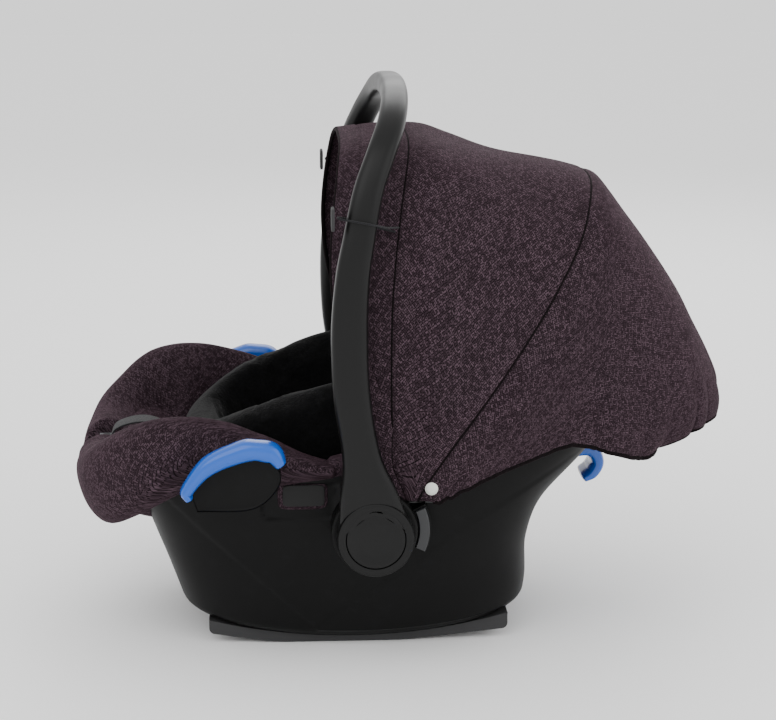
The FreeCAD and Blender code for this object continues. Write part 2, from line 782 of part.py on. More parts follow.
tower_disc = turned(
    "tower_disc",
    [
        ("bolt_radius + bolt_clear", "150", "0"),
        ("tower_radius", "150", "0"),
        ("tower_radius", "hub_inner - 0.7", "3"),
        ("bolt_radius + bolt_clear", "hub_inner - 0.7", "0"),
    ],
    "hub_x",
    "hub_z",
)
release_lug = turned(
    "release_lug",
    [
        ("tower_radius - 8", "150", "0"),
        ("release_outer + 1.8", "150", "0"),
        ("release_outer + 1.8", "hub_inner - 13", "2"),
        ("tower_radius - 8", "hub_inner - 13", "0"),
    ],
    "hub_x",
    "hub_z",
    "release_angle + 5",
)
release_well = turned(
    "release_well",
    [
        ("release_inner - 0.6", "hub_inner - 17.4 - release_clear", "0"),
        ("release_outer + 0.6", "hub_inner - 17.4 - release_clear", "0"),
        ("release_outer + 0.6", "hub_inner + 5", "0"),
        ("release_inner - 0.6", "hub_inner + 5", "0"),
    ],
    "hub_x",
    "hub_z",
    "release_angle + 1.4",
)
SOCKET_OUT = "hub_inner - 7"
adapter_socket = box(
    "adapter_socket",
    ("hub_x - socket_long / 2", f"-({SOCKET_OUT})", "hub_z - tower_radius - 5"),
    ("hub_x + socket_long / 2", f"-({SOCKET_OUT} - socket_wide)", "hub_z - tower_radius + socket_deep"),
)
tower = cut(
    "tower_body",
    joined("tower_blank", tower_disc, release_lug),
    release_well,
    adapter_socket,
    shell_form("tower_seat", "0.1", "0.1"),
)
pair("lock_housing", tower)
release = turned(
    "release_body",
    [
        ("release_inner", "hub_inner - 17.4", "0"),
        ("release_outer", "hub_inner - 17.4", "0"),
        ("release_outer", "hub_inner - 8", "1.5"),
        ("release_inner", "hub_inner - 8", "1"),
    ],
    "hub_x",
    "hub_z",
    "release_angle",
)
pair("adapter_release", release)

lock_blank = turned(
    "lock_blank",
    [
        ("bolt_radius + bolt_clear", "hub_inner - 0.6", "0"),
        ("lock_radius", "hub_inner - 0.6", "0"),
        ("lock_radius", "hub_web - 0.6", "0.8"),
        ("bolt_radius + bolt_clear", "hub_web - 0.6", "0"),
    ],
    "hub_x",
    "hub_z",
)
notches = []
for number in range(int(size("lock_teeth"))):
    turn = f"{number} * 360 / lock_teeth"
    notches.append(
        disc(
            f"notch{number}",
            "lock_radius / 8",
            "hub_inner - 2",
            "20",
            f"hub_x + lock_radius * cos({turn})",
            f"hub_z + lock_radius * sin({turn})",
        )
    )
pair("lock_disc", cut("lock_body", lock_blank, joined("lock_notches", *notches)))

bolt = turned(
    "bolt_body",
    [
        ("0", "hub_inner - 22", "0"),
        ("bolt_radius", "hub_inner - 22", "0"),
        ("bolt_radius", "hub_web + web_depth + 0.4", "0"),
        ("bolt_radius * 1.8", "hub_web + web_depth + 0.4", "0"),
        ("bolt_radius * 1.8", "hub_web + web_depth + 3.2", "1"),
        ("0", "hub_web + web_depth + 3.2", "0"),
    ],
    "hub_x",
    "hub_z",
)
pair("handle_bolt", bolt)

# --- carrying handle -----------------------------------------------------------------------------

BELL = [
    ("hub_radius", "hub_inner", "1"),
    ("hub_radius", "hub_outer", "3"),
    ("button_radius + button_clear", "hub_outer", "1"),
    ("button_radius + button_clear", "hub_web + web_depth", "0"),
    ("bolt_radius + bolt_clear", "hub_web + web_depth", "0"),
    ("bolt_radius + bolt_clear", "hub_web", "0"),
    ("lock_radius + 1.5", "hub_web", "0"),
    ("lock_radius + 1.5", "hub_inner", "0"),
]


def arch_line():
    """The handle's centre line: up one leaning arm, over the bar and down the other."""
    rise = size("grip_z - hub_z")
    half = [
        Vector(size("hub_x - 8"), size("arm_across"), size("hub_z + 26")),
        Vector(size("hub_x - 18"), size("arm_across - 4"), size("hub_z") + 0.26 * rise),
        Vector(size("hub_x - 25"), size("arm_across - 8"), size("hub_z") + 0.50 * rise),
        Vector(size("hub_x - 17"), size("arm_across - 15"), size("hub_z") + 0.74 * rise),
        Vector(size("grip_x - 16"), size("arm_across - 43"), size("hub_z") + 0.92 * rise),
        Vector(size("grip_x - 3"), size("arm_across - 105"), size("grip_z - 6")),
        Vector(size("grip_x"), 0, size("grip_z")),
    ]
    other = [Vector(point.x, -point.y, point.z) for point in half[-2::-1]]
    curve = Part.BSplineCurve()
    curve.interpolate(half + other)
    return curve


def arch_solid():
    """Ovals carried along the centre line, wide along the seat at the hubs and rounder at the bar."""
    curve = arch_line()
    stations = 33
    ovals = []
    for number in range(stations):
        share = number / (stations - 1)
        at = curve.FirstParameter + share * (curve.LastParameter - curve.FirstParameter)
        point = curve.value(at)
        along = Vector(*curve.tangent(at)[0]).normalize()
        climb = (size("grip_z") - point.z) / size("grip_z - hub_z")
        wide = size("grip_half + 1.5") + 5.5 * min(1, climb * 1.5)
        deep = size("grip_half") + size("arm_half - grip_half") * climb
        fore = (Vector(1, 0, 0) - along * along.x).normalize()
        oval = Part.Ellipse(Vector(), wide, deep).toShape()
        frame = Rotation(fore, along.cross(fore), along, "ZXY")
        oval.Placement = Placement(point, frame)
        ovals.append(Part.Wire(oval))
    return Part.makeLoft(ovals, True, False)


bell_left = turned("bell_left", BELL, "hub_x", "hub_z")
bell_right = mirrored("bell_right", bell_left)
arch = doc.addObject("Part::Feature", "arch")
arch.Shape = arch_solid()
arch.Placement = Placement()
hub_room = turned(
    "hub_room",
    [
        ("0", "hub_inner - 40", "0"),
        ("hub_radius - 4", "hub_inner - 40", "0"),
        ("hub_radius - 4", "hub_outer + 20", "0"),
        ("0", "hub_outer + 20", "0"),
    ],
    "hub_x",
    "hub_z",
)
inner_trim = disc("inner_trim", "70", "0", "hub_inner", "hub_x", "hub_z")
arch_trimmed = cut(
    "arch_trimmed",
    arch,
    hub_room,
    mirrored("hub_room_right", hub_room),
    inner_trim,
    mirrored("inner_trim_right", inner_trim),
)
node("carry_handle", joined("handle_body", arch_trimmed, bell_left, bell_right))

hub_button = turned(
    "hub_button_body",
    [
        ("0", "hub_outer - 5.2", "0"),
        ("button_radius - 5", "hub_outer - 5.2", "0"),
        ("button_radius - 4", "hub_outer - 9", "0"),
        ("button_radius", "hub_outer - 9", "0"),
        ("button_radius", "hub_outer - 0.5", "1.2"),
        ("button_radius - 4", "hub_outer - 0.5", "1"),
        ("button_radius - 12", "hub_outer - 2.6", "30"),
        ("0", "hub_outer - 3.4", "0"),
    ],
    "hub_x",
    "hub_z",
)
pair("hub_button", hub_button)

SPRING_SEAT = "(hub_web + web_depth + 0.3)"
SPRING_TOP = "(hub_outer - 5.6)"
spring = turned(
    "spring_body",
    [
        ("bolt_radius * 1.8 + 2", SPRING_SEAT, "0"),
        ("bolt_radius * 1.8 + 4", SPRING_SEAT, "0"),
        ("button_radius - 8", f"{SPRING_TOP} - 0.8", "0"),
        ("button_radius - 8", SPRING_TOP, "0"),
        ("button_radius - 9", SPRING_TOP, "0"),
    ],
    "hub_x",
    "hub_z",
)
pair("hub_spring", spring)

# --- belt guides ---------------------------------------------------------------------------------

GUIDE_TOP = [
    ("-209", "190", "4"),
    ("-190", "208", "20"),
    ("-157", "222", "40"),
    ("-129", "216", "10"),
]
GUIDE_TRIM_OUT = [
    ("-117", "221", "4"),
    ("-124", "236", "10"),
    ("-160", "241", "40"),
    ("-198", "225", "30"),
    ("-221", "193", "6"),
    ("-214", "186", "3"),
]
trim_in = [(x, f"{z} + 0.4", curve) for x, z, curve in GUIDE_TOP]
pair(
    "belt_guide",
    plate(
        "guide_trim",
        trim_in + GUIDE_TRIM_OUT,
        "side",
        "trim_inner",
        "trim_depth",
    ),
)
guide_plate = plate(
    "guide_plate",
    [("-205", "170", "8"), ("-150", "172", "14"), ("-124", "196", "10")] + GUIDE_TOP[::-1],
    "side",
    "guide_inner",
    "guide_depth",
)
guide_root = plate(
    "guide_root",
    [("-203", "162", "6"), ("-152", "162", "6"), ("-140", "184", "3"), ("-203", "184", "3")],
    "side",
    "150",
    "guide_inner + 4 - 150",
)
guide_block = joined("guide_block", guide_plate, guide_root)
pair(
    "belt_guide_housing",
    cut("guide_body", guide_block, shell_form("guide_seat", "0.2", "0.2")),
)

hook_side = [
    ("ledge_rear + 8", "ledge_z + 14", "0"),
    ("ledge_rear + 26", "ledge_z + 35", "0"),
    ("ledge_rear + 66", "ledge_z + 30", "12"),
    ("ledge_rear + 78", "ledge_z + 4", "12"),
    ("ledge_rear + 62", "ledge_z - 15", "6"),
    ("ledge_rear + 47", "ledge_z - 14", "6"),
    ("ledge_rear + 50", "ledge_z - 2", "3"),
    ("ledge_rear + 62", "ledge_z + 6", "6"),
    ("ledge_rear + 58", "ledge_z + 17", "6"),
    ("ledge_rear + 20", "ledge_z + 10", "0"),
]
hook_blank = slab("hook_blank", hook_side, "hook_half")
node("rear_belt_hook", cut("hook_body", hook_blank, shell_form("hook_seat", "0.2", "0.2")))

# --- canopy --------------------------------------------------------------------------------------


def arch_plan(name, arch_name, shrink, shift):
    """The canopy's cross-section at one place, shrunk evenly: upright sides and two round corners."""
    low = f"({arch_name}_low - ({shrink}))"
    high = f"({arch_name}_high - ({shrink}))"
    top = f"{arch_name}_top - 1.7 * ({shrink})"
    curve = f"{arch_name}_round"
    foot = f"canopy_foot - 2 * ({shrink})"
    corners = [
        (f"-{low}", foot, "0"),
        (low, foot, "0"),
        (high, top, curve),
        (f"-{high}", top, curve),
    ]
    return outline(f"{name}_{arch_name}", corners, "front", f"{arch_name}_x - ({shift})")


def canopy_form(name, shrink):
    """The canopy's form through its arches; a shrunk form is longer at the front and open there."""
    sections = []
    for arch_name in CANOPY_ARCHES:
        shift = {"hem": f"4 * ({shrink})", "tail": f"1.2 * ({shrink})"}.get(arch_name, "0")
        sections.append(arch_plan(name, arch_name, shrink, shift))
    return loft(name, sections)


SEAM_FRONT = [
    ("4", "160", "0"),
    ("-12", "205", "60"),
    ("-13", "320", "200"),
    ("-5", "440", "200"),
    ("12", "530", "0"),
]
SEAM_REAR = [
    ("12", "160", "0"),
    ("66", "248", "200"),
    ("140", "352", "300"),
    ("188", "430", "200"),
    ("214", "500", "0"),
]
CANOPY_SIDE = [
    ("-56", "530", "0"),
    ("-64", "478", "60"),
    ("-70", "400", "100"),
    ("-62", "330", "100"),
    ("-34", "250", "60"),
    ("-12", "190", "12"),
    ("-2", "178", "6"),
    ("28", "171", "20"),
    ("66", "185", "60"),
    ("128", "212", "60"),
    ("170", "226", "30"),
    ("214", "214", "20"),
    ("252", "203", "30"),
    ("306", "206", "20"),
    ("345", "238", "0"),
    ("345", "530", "0"),
]
canopy_block = slab("canopy_side", CANOPY_SIDE)
canopy_solid = shared("canopy_solid", canopy_form("canopy_out", "0"), canopy_block)
canopy_skin = cut("canopy_skin", canopy_solid, canopy_form("canopy_in", "skin"))


def moved(line, shift):
    """A seam line moved along the seat."""
    return [(f"{x} + {shift}", z, curve) for x, z, curve in line]


front_side = moved(SEAM_FRONT, "-0.2") + [("-200", "530", "0"), ("-200", "160", "0")]
main_side = moved(SEAM_FRONT, "0.2") + [("214", "530", "0")] + moved(SEAM_REAR, "-0.2")[::-1]
rear_side = moved(SEAM_REAR, "0.2")[::-1] + [("360", "160", "0"), ("360", "500", "0")]
node("canopy_front_panel", shared("front_panel_body", canopy_skin, slab("front_side", front_side)))
node("canopy_main_panel", shared("main_panel_body", canopy_skin, slab("main_side", main_side)))
node("canopy_rear_panel", shared("rear_panel_body", canopy_skin, slab("rear_side", rear_side)))


def bow(name, depth, tip_x, tip_z):
    """A flat bow: the strip of a thin form inside the canopy that lies over one line of the pivot."""
    outer = canopy_form(name + "_outer", f"skin + {depth}")
    inner = canopy_form(name + "_inner", f"skin + {depth} + bow_depth")
    reach = f"sqrt(({tip_x} - pivot_x)^2 + ({tip_z} - pivot_z)^2)"
    over_x = f"(({tip_z} - pivot_z) / {reach} * bow_width / 2)"
    over_z = f"(({tip_x} - pivot_x) / {reach} * bow_width / 2)"
    band = [
        (f"pivot_x - {over_x}", f"pivot_z + {over_z}", "0"),
        (f"pivot_x + {over_x}", f"pivot_z - {over_z}", "0"),
        (f"{tip_x} + {over_x}", f"{tip_z} - {over_z}", "0"),
        (f"{tip_x} - {over_x}", f"{tip_z} + {over_z}", "0"),
    ]
    eye = disc(name + "_eye", "pivot_radius + 4", "-300", "600", "pivot_x", "pivot_z")
    strip_and_eye = joined(name + "_side", slab(name + "_band", band, "300"), eye)
    hoop = shared(name + "_hoop", cut(name + "_skin", outer, inner), strip_and_eye)
    hole = disc(name + "_hole", "pivot_radius + bolt_clear", "-300", "600", "pivot_x", "pivot_z")
    return cut(name + "_body", hoop, hole)


node("canopy_front_bow", bow("front_bow", "0.5", "front_x", "front_top + 20"))
node("canopy_rear_bow", bow("rear_bow", "2.4", "rear_x - 8", "rear_top + 18"))

bracket_side = [
    ("pivot_x - 18", "pivot_z - 16", "6"),
    ("pivot_x + 24", "pivot_z - 16", "6"),
    ("pivot_x + 24", "pivot_z + 12", "6"),
    ("pivot_x - 18", "pivot_z + 12", "6"),
]
bracket_plate = plate("bracket_plate", bracket_side, "side", "150", "hub_inner - 22.4 - 150")
pin = disc("pin", "pivot_radius", "160", "front_low - skin - 3.2 - 160", "pivot_x", "pivot_z")
bracket_set = joined("bracket_set", bracket_plate, pin)
bracket = cut("bracket_body", bracket_set, shell_form("bracket_seat", "0.2", "0.2"), tower)
pair("canopy_bracket", bracket)
snap = turned(
    "snap_body",
    [
        ("0", "front_low + 0.3", "0"),
        ("6.5", "front_low + 0.3", "0"),
        ("6.5", "front_low + 1.4", "0"),
        ("4", "front_low + 3", "3"),
        ("0", "front_low + 3.2", "0"),
    ],
    "pivot_x + 15",
    "pivot_z + 2",
)
pair("canopy_snap", snap)

# --- elastic loops that hold the canopy to the handle's arms -------------------------------------

tag = box(
    "tag_body",
    ("hub_x - 42", "-(arm_across + 3)", "hub_z + 306"),
    ("hub_x - 38.6", "-(arm_across - 19)", "hub_z + 328"),
)
pair("loop_tag", tag)


def cord_tube(points, radius):
    """Straight runs joined by tangent arcs, each arc as large as its shorter run allows."""
    edges = []
    start = points[0]
    length = 0
    for before, at, after in zip(points, points[1:], points[2:]):
        back = (before - at).normalize()
        ahead = (after - at).normalize()
        half_turn = (math.pi - back.getAngle(ahead)) / 2
        reach = 0.45 * min((before - at).Length, (after - at).Length)
        bend = reach / math.tan(half_turn)
        middle = at + (back + ahead).normalize() * (bend / math.cos(half_turn) - bend)
        first = at + back * reach
        last = at + ahead * reach
        edges.append(Part.LineSegment(start, first).toShape())
        edges.append(Part.Arc(first, middle, last).toShape())
        start = last
        print(f"cord bend radius {bend:.1f}")
    edges.append(Part.LineSegment(start, points[-1]).toShape())
    path = Part.Wire(edges)
    end = Part.Circle(points[0], points[1] - points[0], radius).toShape()
    tube = path.makePipeShell([Part.Wire(end)], True, False)
    section = math.pi * radius**2
    print(f"cord {path.Length:.1f} long, volume ratio {tube.Volume / (path.Length * section):.3f}")
    return tube


# The loop's route: from the canopy's seam, outside the arm, through the tag, and back inside it.
LOOP_ROUTE = [
    ("hub_x + 25", "-(front_high + 8)", "hub_z + 302"),
    ("hub_x + 14", "-(arm_across - 22)", "hub_z + 305"),
    ("hub_x + 2", "-(arm_across - 3)", "hub_z + 311"),
    ("hub_x - 18", "-(arm_across + 4)", "hub_z + 316"),
    ("hub_x - 33", "-(arm_across + 1)", "hub_z + 318"),
    ("hub_x - 36.5", "-(arm_across - 9)", "hub_z + 318"),
    ("hub_x - 33", "-(arm_across - 25)", "hub_z + 316"),
    ("hub_x - 18", "-(arm_across - 32)", "hub_z + 311"),
    ("hub_x + 4", "-(arm_across - 36)", "hub_z + 303"),
    ("hub_x + 22", "-(front_high + 9)", "hub_z + 298"),
]
loop = doc.addObject("Part::Feature", "loop_body")
loop_points = [Vector(size(x), size(y), size(z)) for x, y, z in LOOP_ROUTE]
loop.Shape = cord_tube(loop_points, TUBE_RADIUS)
loop.Placement = Placement()
pair("elastic_loop", loop)

# --- check and write -----------------------------------------------------------------------------

doc.recompute()
faults = [item.Name for item in doc.Objects if {"Invalid", "Error"} & set(item.State)]
for item in NODES:
    if item.Shape.isNull() or not item.Shape.isValid() or not item.Shape.Solids:
        faults.append(item.Label)
if faults:
    raise RuntimeError("these objects failed: " + ", ".join(faults))
os.makedirs("parts", exist_ok=True)
for item in NODES:
    item.Shape.exportStep(os.path.join("parts", item.Label + ".step"))
print(len(NODES), "nodes written")
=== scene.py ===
"""Infant carrier seat: the fabric, padding, mouldings and cords around its frame."""

import math

import bmesh
import bpy
import numpy as np
from bpy.props import FloatProperty, FloatVectorProperty, IntProperty, PointerProperty
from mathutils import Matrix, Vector


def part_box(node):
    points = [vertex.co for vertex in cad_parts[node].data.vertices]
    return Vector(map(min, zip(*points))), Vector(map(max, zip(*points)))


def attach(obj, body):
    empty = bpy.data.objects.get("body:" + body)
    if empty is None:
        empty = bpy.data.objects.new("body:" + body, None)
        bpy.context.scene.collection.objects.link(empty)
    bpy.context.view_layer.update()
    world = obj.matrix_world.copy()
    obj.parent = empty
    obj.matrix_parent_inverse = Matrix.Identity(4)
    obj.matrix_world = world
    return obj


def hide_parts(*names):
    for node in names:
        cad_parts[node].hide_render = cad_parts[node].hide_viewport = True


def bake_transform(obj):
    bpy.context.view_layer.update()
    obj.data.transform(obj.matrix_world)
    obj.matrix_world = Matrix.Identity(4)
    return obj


bl_info = {
    "name": "Infant Carrier Seat",
    "version": (1, 0, 0),
    "blender": (4, 5, 0),
    "location": "View3D > Sidebar > Carrier Seat",
    "description": "Builds the visible pieces of an infant carrier seat around its frame",
    "category": "Add Mesh",
}

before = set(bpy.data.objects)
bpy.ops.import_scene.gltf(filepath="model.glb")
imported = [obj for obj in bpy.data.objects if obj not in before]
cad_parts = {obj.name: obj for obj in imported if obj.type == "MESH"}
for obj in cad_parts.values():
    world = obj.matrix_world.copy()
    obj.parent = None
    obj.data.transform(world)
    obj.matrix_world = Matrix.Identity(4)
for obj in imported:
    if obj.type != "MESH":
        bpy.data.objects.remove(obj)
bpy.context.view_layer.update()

# Shapes are worked out in millimetres: X to the head end, Z up, the seat symmetric about Y = 0.
MM = 0.001

# --- numbers along lines ---


def table_at(table, place):
    """Smooth values between the rows of a table: the cubic that passes through each row with the
    slope of its two neighbours."""
    table = np.asarray(table, float)
    padded = np.vstack([2 * table[0] - table[1], table, 2 * table[-1] - table[-2]])
    place = np.clip(place, 0, len(table) - 1)
    row = np.minimum(np.asarray(place).astype(int), len(table) - 2)
    t = (place - row)[..., None]
    a, b, c, d = (padded[row + k] for k in range(4))
    curve = 2 * b + (c - a) * t + (2 * a - 5 * b + 4 * c - d) * t**2
    return 0.5 * (curve + (3 * b - a - 3 * c + d) * t**3)


def level_at(table, at):
    """Smooth values in a table whose first column is a length: cubics that meet with one slope."""
    table = np.asarray(table, float)
    key, values = table[:, 0], table[:, 1:]
    slope = np.gradient(values, key, axis=0)
    at = np.clip(at, key[0], key[-1])
    row = np.clip(np.searchsorted(key, at) - 1, 0, len(key) - 2)
    gap = (key[row + 1] - key[row])[..., None]
    t = (at - key[row])[..., None] / gap
    low = values[row] * (2 * t**3 - 3 * t**2 + 1) + slope[row] * gap * (t**3 - 2 * t**2 + t)
    high = values[row + 1] * (3 * t**2 - 2 * t**3) + slope[row + 1] * gap * (t**3 - t**2)
    return low + high


def even(line, count):
    """That many points at even lengths along a line of points."""
    length = np.append(0, np.cumsum(np.linalg.norm(np.diff(line, axis=0), axis=1)))
    at = np.linspace(0, length[-1], count)
    return np.stack([np.interp(at, length, column) for column in line.T], 1)


def smooth_line(points, count):
    """Evenly spaced points on the smooth curve through a few points."""
    return even(table_at(points, np.linspace(0, len(points) - 1, 40 * len(points))), count)


def smooth_step(low, high, value):
    """0 below low, 1 above high, and 3t^2 - 2t^3 between."""
    t = np.clip((value - low) / (high - low), 0, 1)
    return t * t * (3 - 2 * t)


def power(value, exponent):
    """A power that keeps the sign, which turns a circle into a rounded rectangle."""
    return np.sign(value) * np.abs(value) ** exponent


def beside(x, z, line):
    """Signed distance from a broken line in the side view, positive on its left."""
    best = np.full(np.shape(x), 1e9)
    signed = np.zeros(np.shape(x))
    for (ax, az), (bx, bz) in zip(line, line[1:]):
        dx, dz = bx - ax, bz - az
        t = np.clip(((x - ax) * dx + (z - az) * dz) / (dx * dx + dz * dz), 0, 1)
        off_x, off_z = x - ax - t * dx, z - az - t * dz
        distance = np.hypot(off_x, off_z)
        nearer = distance < best
        best = np.where(nearer, distance, best)
        signed = np.where(nearer, np.sign(dx * off_z - dz * off_x) * distance, signed)
    return signed


# --- meshes ---


def spacing(points):
    """How far each point of a grid lies along its row, from the middle, and along its column."""

    def run(axis):
        step = np.linalg.norm(np.diff(points, axis=axis), axis=2)
        start = np.zeros_like(np.take(step, [0], axis=axis))
        return np.cumsum(np.concatenate([start, step], axis=axis), axis=axis)

    along_row = run(1)
    middle = points.shape[1] // 2
    return np.stack([along_row - along_row[:, middle : middle + 1], run(0)], 2) * MM


def facing(points, closed=False):
    """Unit normals of a grid: its row direction crossed with its column direction."""
    if closed:
        points = np.concatenate([points[:, -1:], points, points[:, :1]], 1)
    along = np.gradient(points, axis=1)
    down = np.gradient(points, axis=0)
    normal = np.cross(along, down)
    normal /= np.maximum(np.linalg.norm(normal, axis=2, keepdims=True), 1e-9)
    return normal[:, 1:-1] if closed else normal


def grid_arrays(points, closed):
    """Vertices, four-cornered faces and the place of each corner on the cloth for one grid."""
    rows, columns = points.shape[:2]
    wrapped = np.concatenate([points, points[:, :1]], 1) if closed else points
    cloth = spacing(wrapped)
    i, j = np.meshgrid(np.arange(rows - 1), np.arange(wrapped.shape[1] - 1), indexing="ij")
    i = np.stack([i, i + 1, i + 1, i], -1).reshape(-1, 4)
    j = np.stack([j, j, j + 1, j + 1], -1).reshape(-1, 4)
    return points.reshape(-1, 3), i * columns + j % columns, cloth[i, j].reshape(-1, 2)


def surface(name, grids, closed=True, solid=False, material=None, smooth_angle=50):
    """One mesh from grids of points in millimetres. A solid's doubled points are merged, and then
    its faces are turned outwards."""
    grids = grids if isinstance(grids, list) else [grids]
    parts = [grid_arrays(grid, closed) for grid in grids]
    starts = np.cumsum([0] + [len(part[0]) for part in parts])
    vertices = np.concatenate([part[0] for part in parts]) * MM
    faces = np.concatenate([part[1] + start for part, start in zip(parts, starts)])
    mesh = bpy.data.meshes.new(name)
    mesh.from_pydata(vertices, [], faces)
    layer = mesh.uv_layers.new(name="UVMap")
    layer.data.foreach_set("uv", np.concatenate([part[2] for part in parts]).ravel())
    if solid:
        work = bmesh.new()
        work.from_mesh(mesh)
        bmesh.ops.remove_doubles(work, verts=work.verts, dist=2e-6)
        bmesh.ops.recalc_face_normals(work, faces=work.faces)
        work.to_mesh(mesh)
        work.free()
    mesh.polygons.foreach_set("use_smooth", np.ones(len(mesh.polygons), bool))
    mesh.set_sharp_from_angle(angle=math.radians(smooth_angle))
    piece = bpy.data.objects.new(name, mesh)
    bpy.context.scene.collection.objects.link(piece)
    if material:
        mesh.materials.append(bpy.data.materials[material])
    return piece


def settle(piece, body, slot, *nodes):
    """The piece moves with a body and stands for these nodes, whose frame parts it hides. The slot
    is not used.
    """
    if body:
        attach(piece, body)
    if nodes:
        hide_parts(*nodes)
    return piece


def thicken(piece, depth, offset=-1):
    """Give a sheet its thickness, in millimetres, inwards from its face."""
    wall = piece.modifiers.new("Thickness", "SOLIDIFY")
    wall.thickness = depth * MM
    wall.offset = offset
    wall.use_even_offset = False
    return piece


def mirrored(points):
    """The same grid on the other side of the seat."""
    return points * np.array([1, -1, 1])


def section_frames(path, side=(0, 1, 0)):
    """Two unit directions square to a path at each of its points, the first near a given one."""
    along = np.gradient(path, axis=0)
    along /= np.linalg.norm(along, axis=1, keepdims=True)
    side = np.broadcast_to(np.asarray(side, float), path.shape)
    across = side - along * np.sum(side * along, 1, keepdims=True)
    across /= np.linalg.norm(across, axis=1, keepdims=True)
    return across, np.cross(along, across)


def rod(path, half_across, half_up, side=(0, 1, 0), exponent=2.0, steps=24, ends=True, loop=False):
    """A rounded rectangle carried along a path. Each half size may change along the path. The
    ends shrink to a point over a quarter round."""
    across, up = section_frames(np.vstack([path[-1], path, path[0]]) if loop else path, side)
    if loop:
        across, up = across[1:-1], up[1:-1]
    angle = np.linspace(0, 2 * np.pi, steps, endpoint=False)
    wide = np.broadcast_to(half_across, len(path))[:, None, None]
    high = np.broadcast_to(half_up, len(path))[:, None, None]
    ring = across[:, None] * wide * power(np.cos(angle), 2 / exponent)[None, :, None]
    ring = ring + up[:, None] * high * power(np.sin(angle), 2 / exponent)[None, :, None]
    if loop:
        grid = path[:, None] + ring
        return np.concatenate([grid, grid[:1]])
    if not ends:
        return path[:, None] + ring
    quarter = np.linspace(0, np.pi / 2, 7)[1:]
    reach = min(np.min(np.broadcast_to(half_up, len(path))), 3.0)
    first = path[0] - path[1]
    last = path[-1] - path[-2]
    first = first / np.linalg.norm(first) * reach
    last = last / np.linalg.norm(last) * reach
    start = [path[0] + first * math.sin(q) + ring[0] * math.cos(q) for q in quarter[::-1]]
    finish = [path[-1] + last * math.sin(q) + ring[-1] * math.cos(q) for q in quarter]
    return np.concatenate([start, path[:, None] + ring, finish])


def block(low, high, exponent=6.0, steps=32):
    """A box with rounded edges: a ball whose sines and cosines are raised to a small power."""
    low, high = np.asarray(low, float), np.asarray(high, float)
    share = np.linspace(-1, 1, steps + 1)
    rise = np.sin(share * np.pi / 2) * np.pi / 2
    turn = np.linspace(0, 2 * np.pi, 2 * steps, endpoint=False)
    flat = power(np.cos(rise), 2 / exponent)[:, None]
    points = np.stack(
        [
            flat * power(np.cos(turn), 2 / exponent),
            flat * power(np.sin(turn), 2 / exponent),
            np.repeat(power(np.sin(rise), 2 / exponent)[:, None], len(turn), 1),
        ],
        2,
    )
    return (low + high) / 2 + points * (high - low) / 2


def lathe(profile, x, z, sign, steps=96):
    """A closed profile of radius and distance across, turned about a line across the seat."""
    profile = np.asarray(list(profile) + [profile[0]], float)
    angle = np.linspace(0, 2 * np.pi, steps, endpoint=False)
    radius = profile[:, :1]
    across = np.repeat(profile[:, 1:] * sign, steps, 1)
    return np.stack([x + radius * np.cos(angle), across, z + radius * np.sin(angle)], 2)


def slab_between(outline, inner, outer, edge, bulge=0.0):
    """A plate with a rounded outline in the side view. Rings go from the middle of one face to its
    rim, round a quarter circle of the edge radius, along the side and back over the other face."""
    outline = even(np.vstack([outline, outline[:1]]), 97)[:-1]
    middle = outline.mean(0)
    reach = np.linalg.norm(outline - middle, axis=1)

    def half(level, sign, rise):
        flat = [(s * (1 - edge / reach), level + rise * (1 - s * s)) for s in np.linspace(0, 1, 8)]
        turn = np.linspace(0, np.pi / 2, 7)[1:]
        edge_rows = [
            (1 - edge * (1 - math.sin(q)) / reach, level - sign * edge * (1 - math.cos(q)))
            for q in turn
        ]
        return flat + edge_rows

    order = half(outer, 1, bulge) + half(inner, -1, 0.0)[::-1]
    flats = [middle + (outline - middle) * share[:, None] for share, _ in order]
    return np.array(
        [
            np.stack([flat[:, 0], np.full(len(flat), across), flat[:, 1]], 1)
            for flat, (_, across) in zip(flats, order)
        ]
    )


# --- the shell's form ---

# Height, foot end, head end, half width and corner power of the moulding at six levels.
SHELL_LEVELS = [
    (0, -215, 126, 126, 4.4),
    (50, -231, 136, 141, 4.6),
    (105, -250, 137, 157, 4.6),
    (150, -268, 152, 169, 4.6),
    (200, -302, 198, 174, 4.4),
    (330, -312, 306, 150, 3.6),
    (420, -316, 350, 140, 3.4),
]
LIP_LINE = [(-345, 184), (-300, 190), (-225, 211), (-160, 204), (-95, 195), (-30, 209), (30, 228)]
LIP_LINE += [(180, 267), (330, 306), (400, 324)]
FLOOR_LINE = [(-340, 213), (-250, 158), (-180, 117), (-125, 92), (-75, 75), (-30, 72), (10, 80)]
FLOOR_LINE += [(60, 112), (110, 147), (200, 206), (400, 341)]
ROCKER_RADIUS = 600
ROCKER_X = -48
SOLE_LIFT = 6
WALL = 4
BOWL_MIDDLE = -30
CREASE_REAR = [(171, 200), (67, 139), (-4, 83)]
CREASE_FOOT = [(-218, 150), (-142, 74)]


def shell_at(angle, z, inset_x=0.0, inset_y=0.0):
    """The moulding's plan at a height: a rounded rectangle, shrunk by the insets. Angle 0 is the
    head end."""
    ends = level_at(SHELL_LEVELS, z)
    front, rear, half, corner = (ends[..., k] for k in range(4))
    middle, reach = (front + rear) / 2, (rear - front) / 2
    x = middle + (reach - inset_x) * power(np.cos(angle), 2 / corner)
    return x, (half - inset_y) * power(np.sin(angle), 2 / corner)


def lip_height(x):
    """Height of the moulding's lip at a place along the seat."""
    return level_at(LIP_LINE, x)[..., 0]


def floor_height(x):
    """Height of the bucket's floor at a place along the seat."""
    return level_at(FLOOR_LINE, x)[..., 0]


def rocker_height(x):
    """Height of the rounded underside at a place along the seat."""
    return ROCKER_RADIUS + SOLE_LIFT - np.sqrt(ROCKER_RADIUS**2 - (x - ROCKER_X) ** 2)


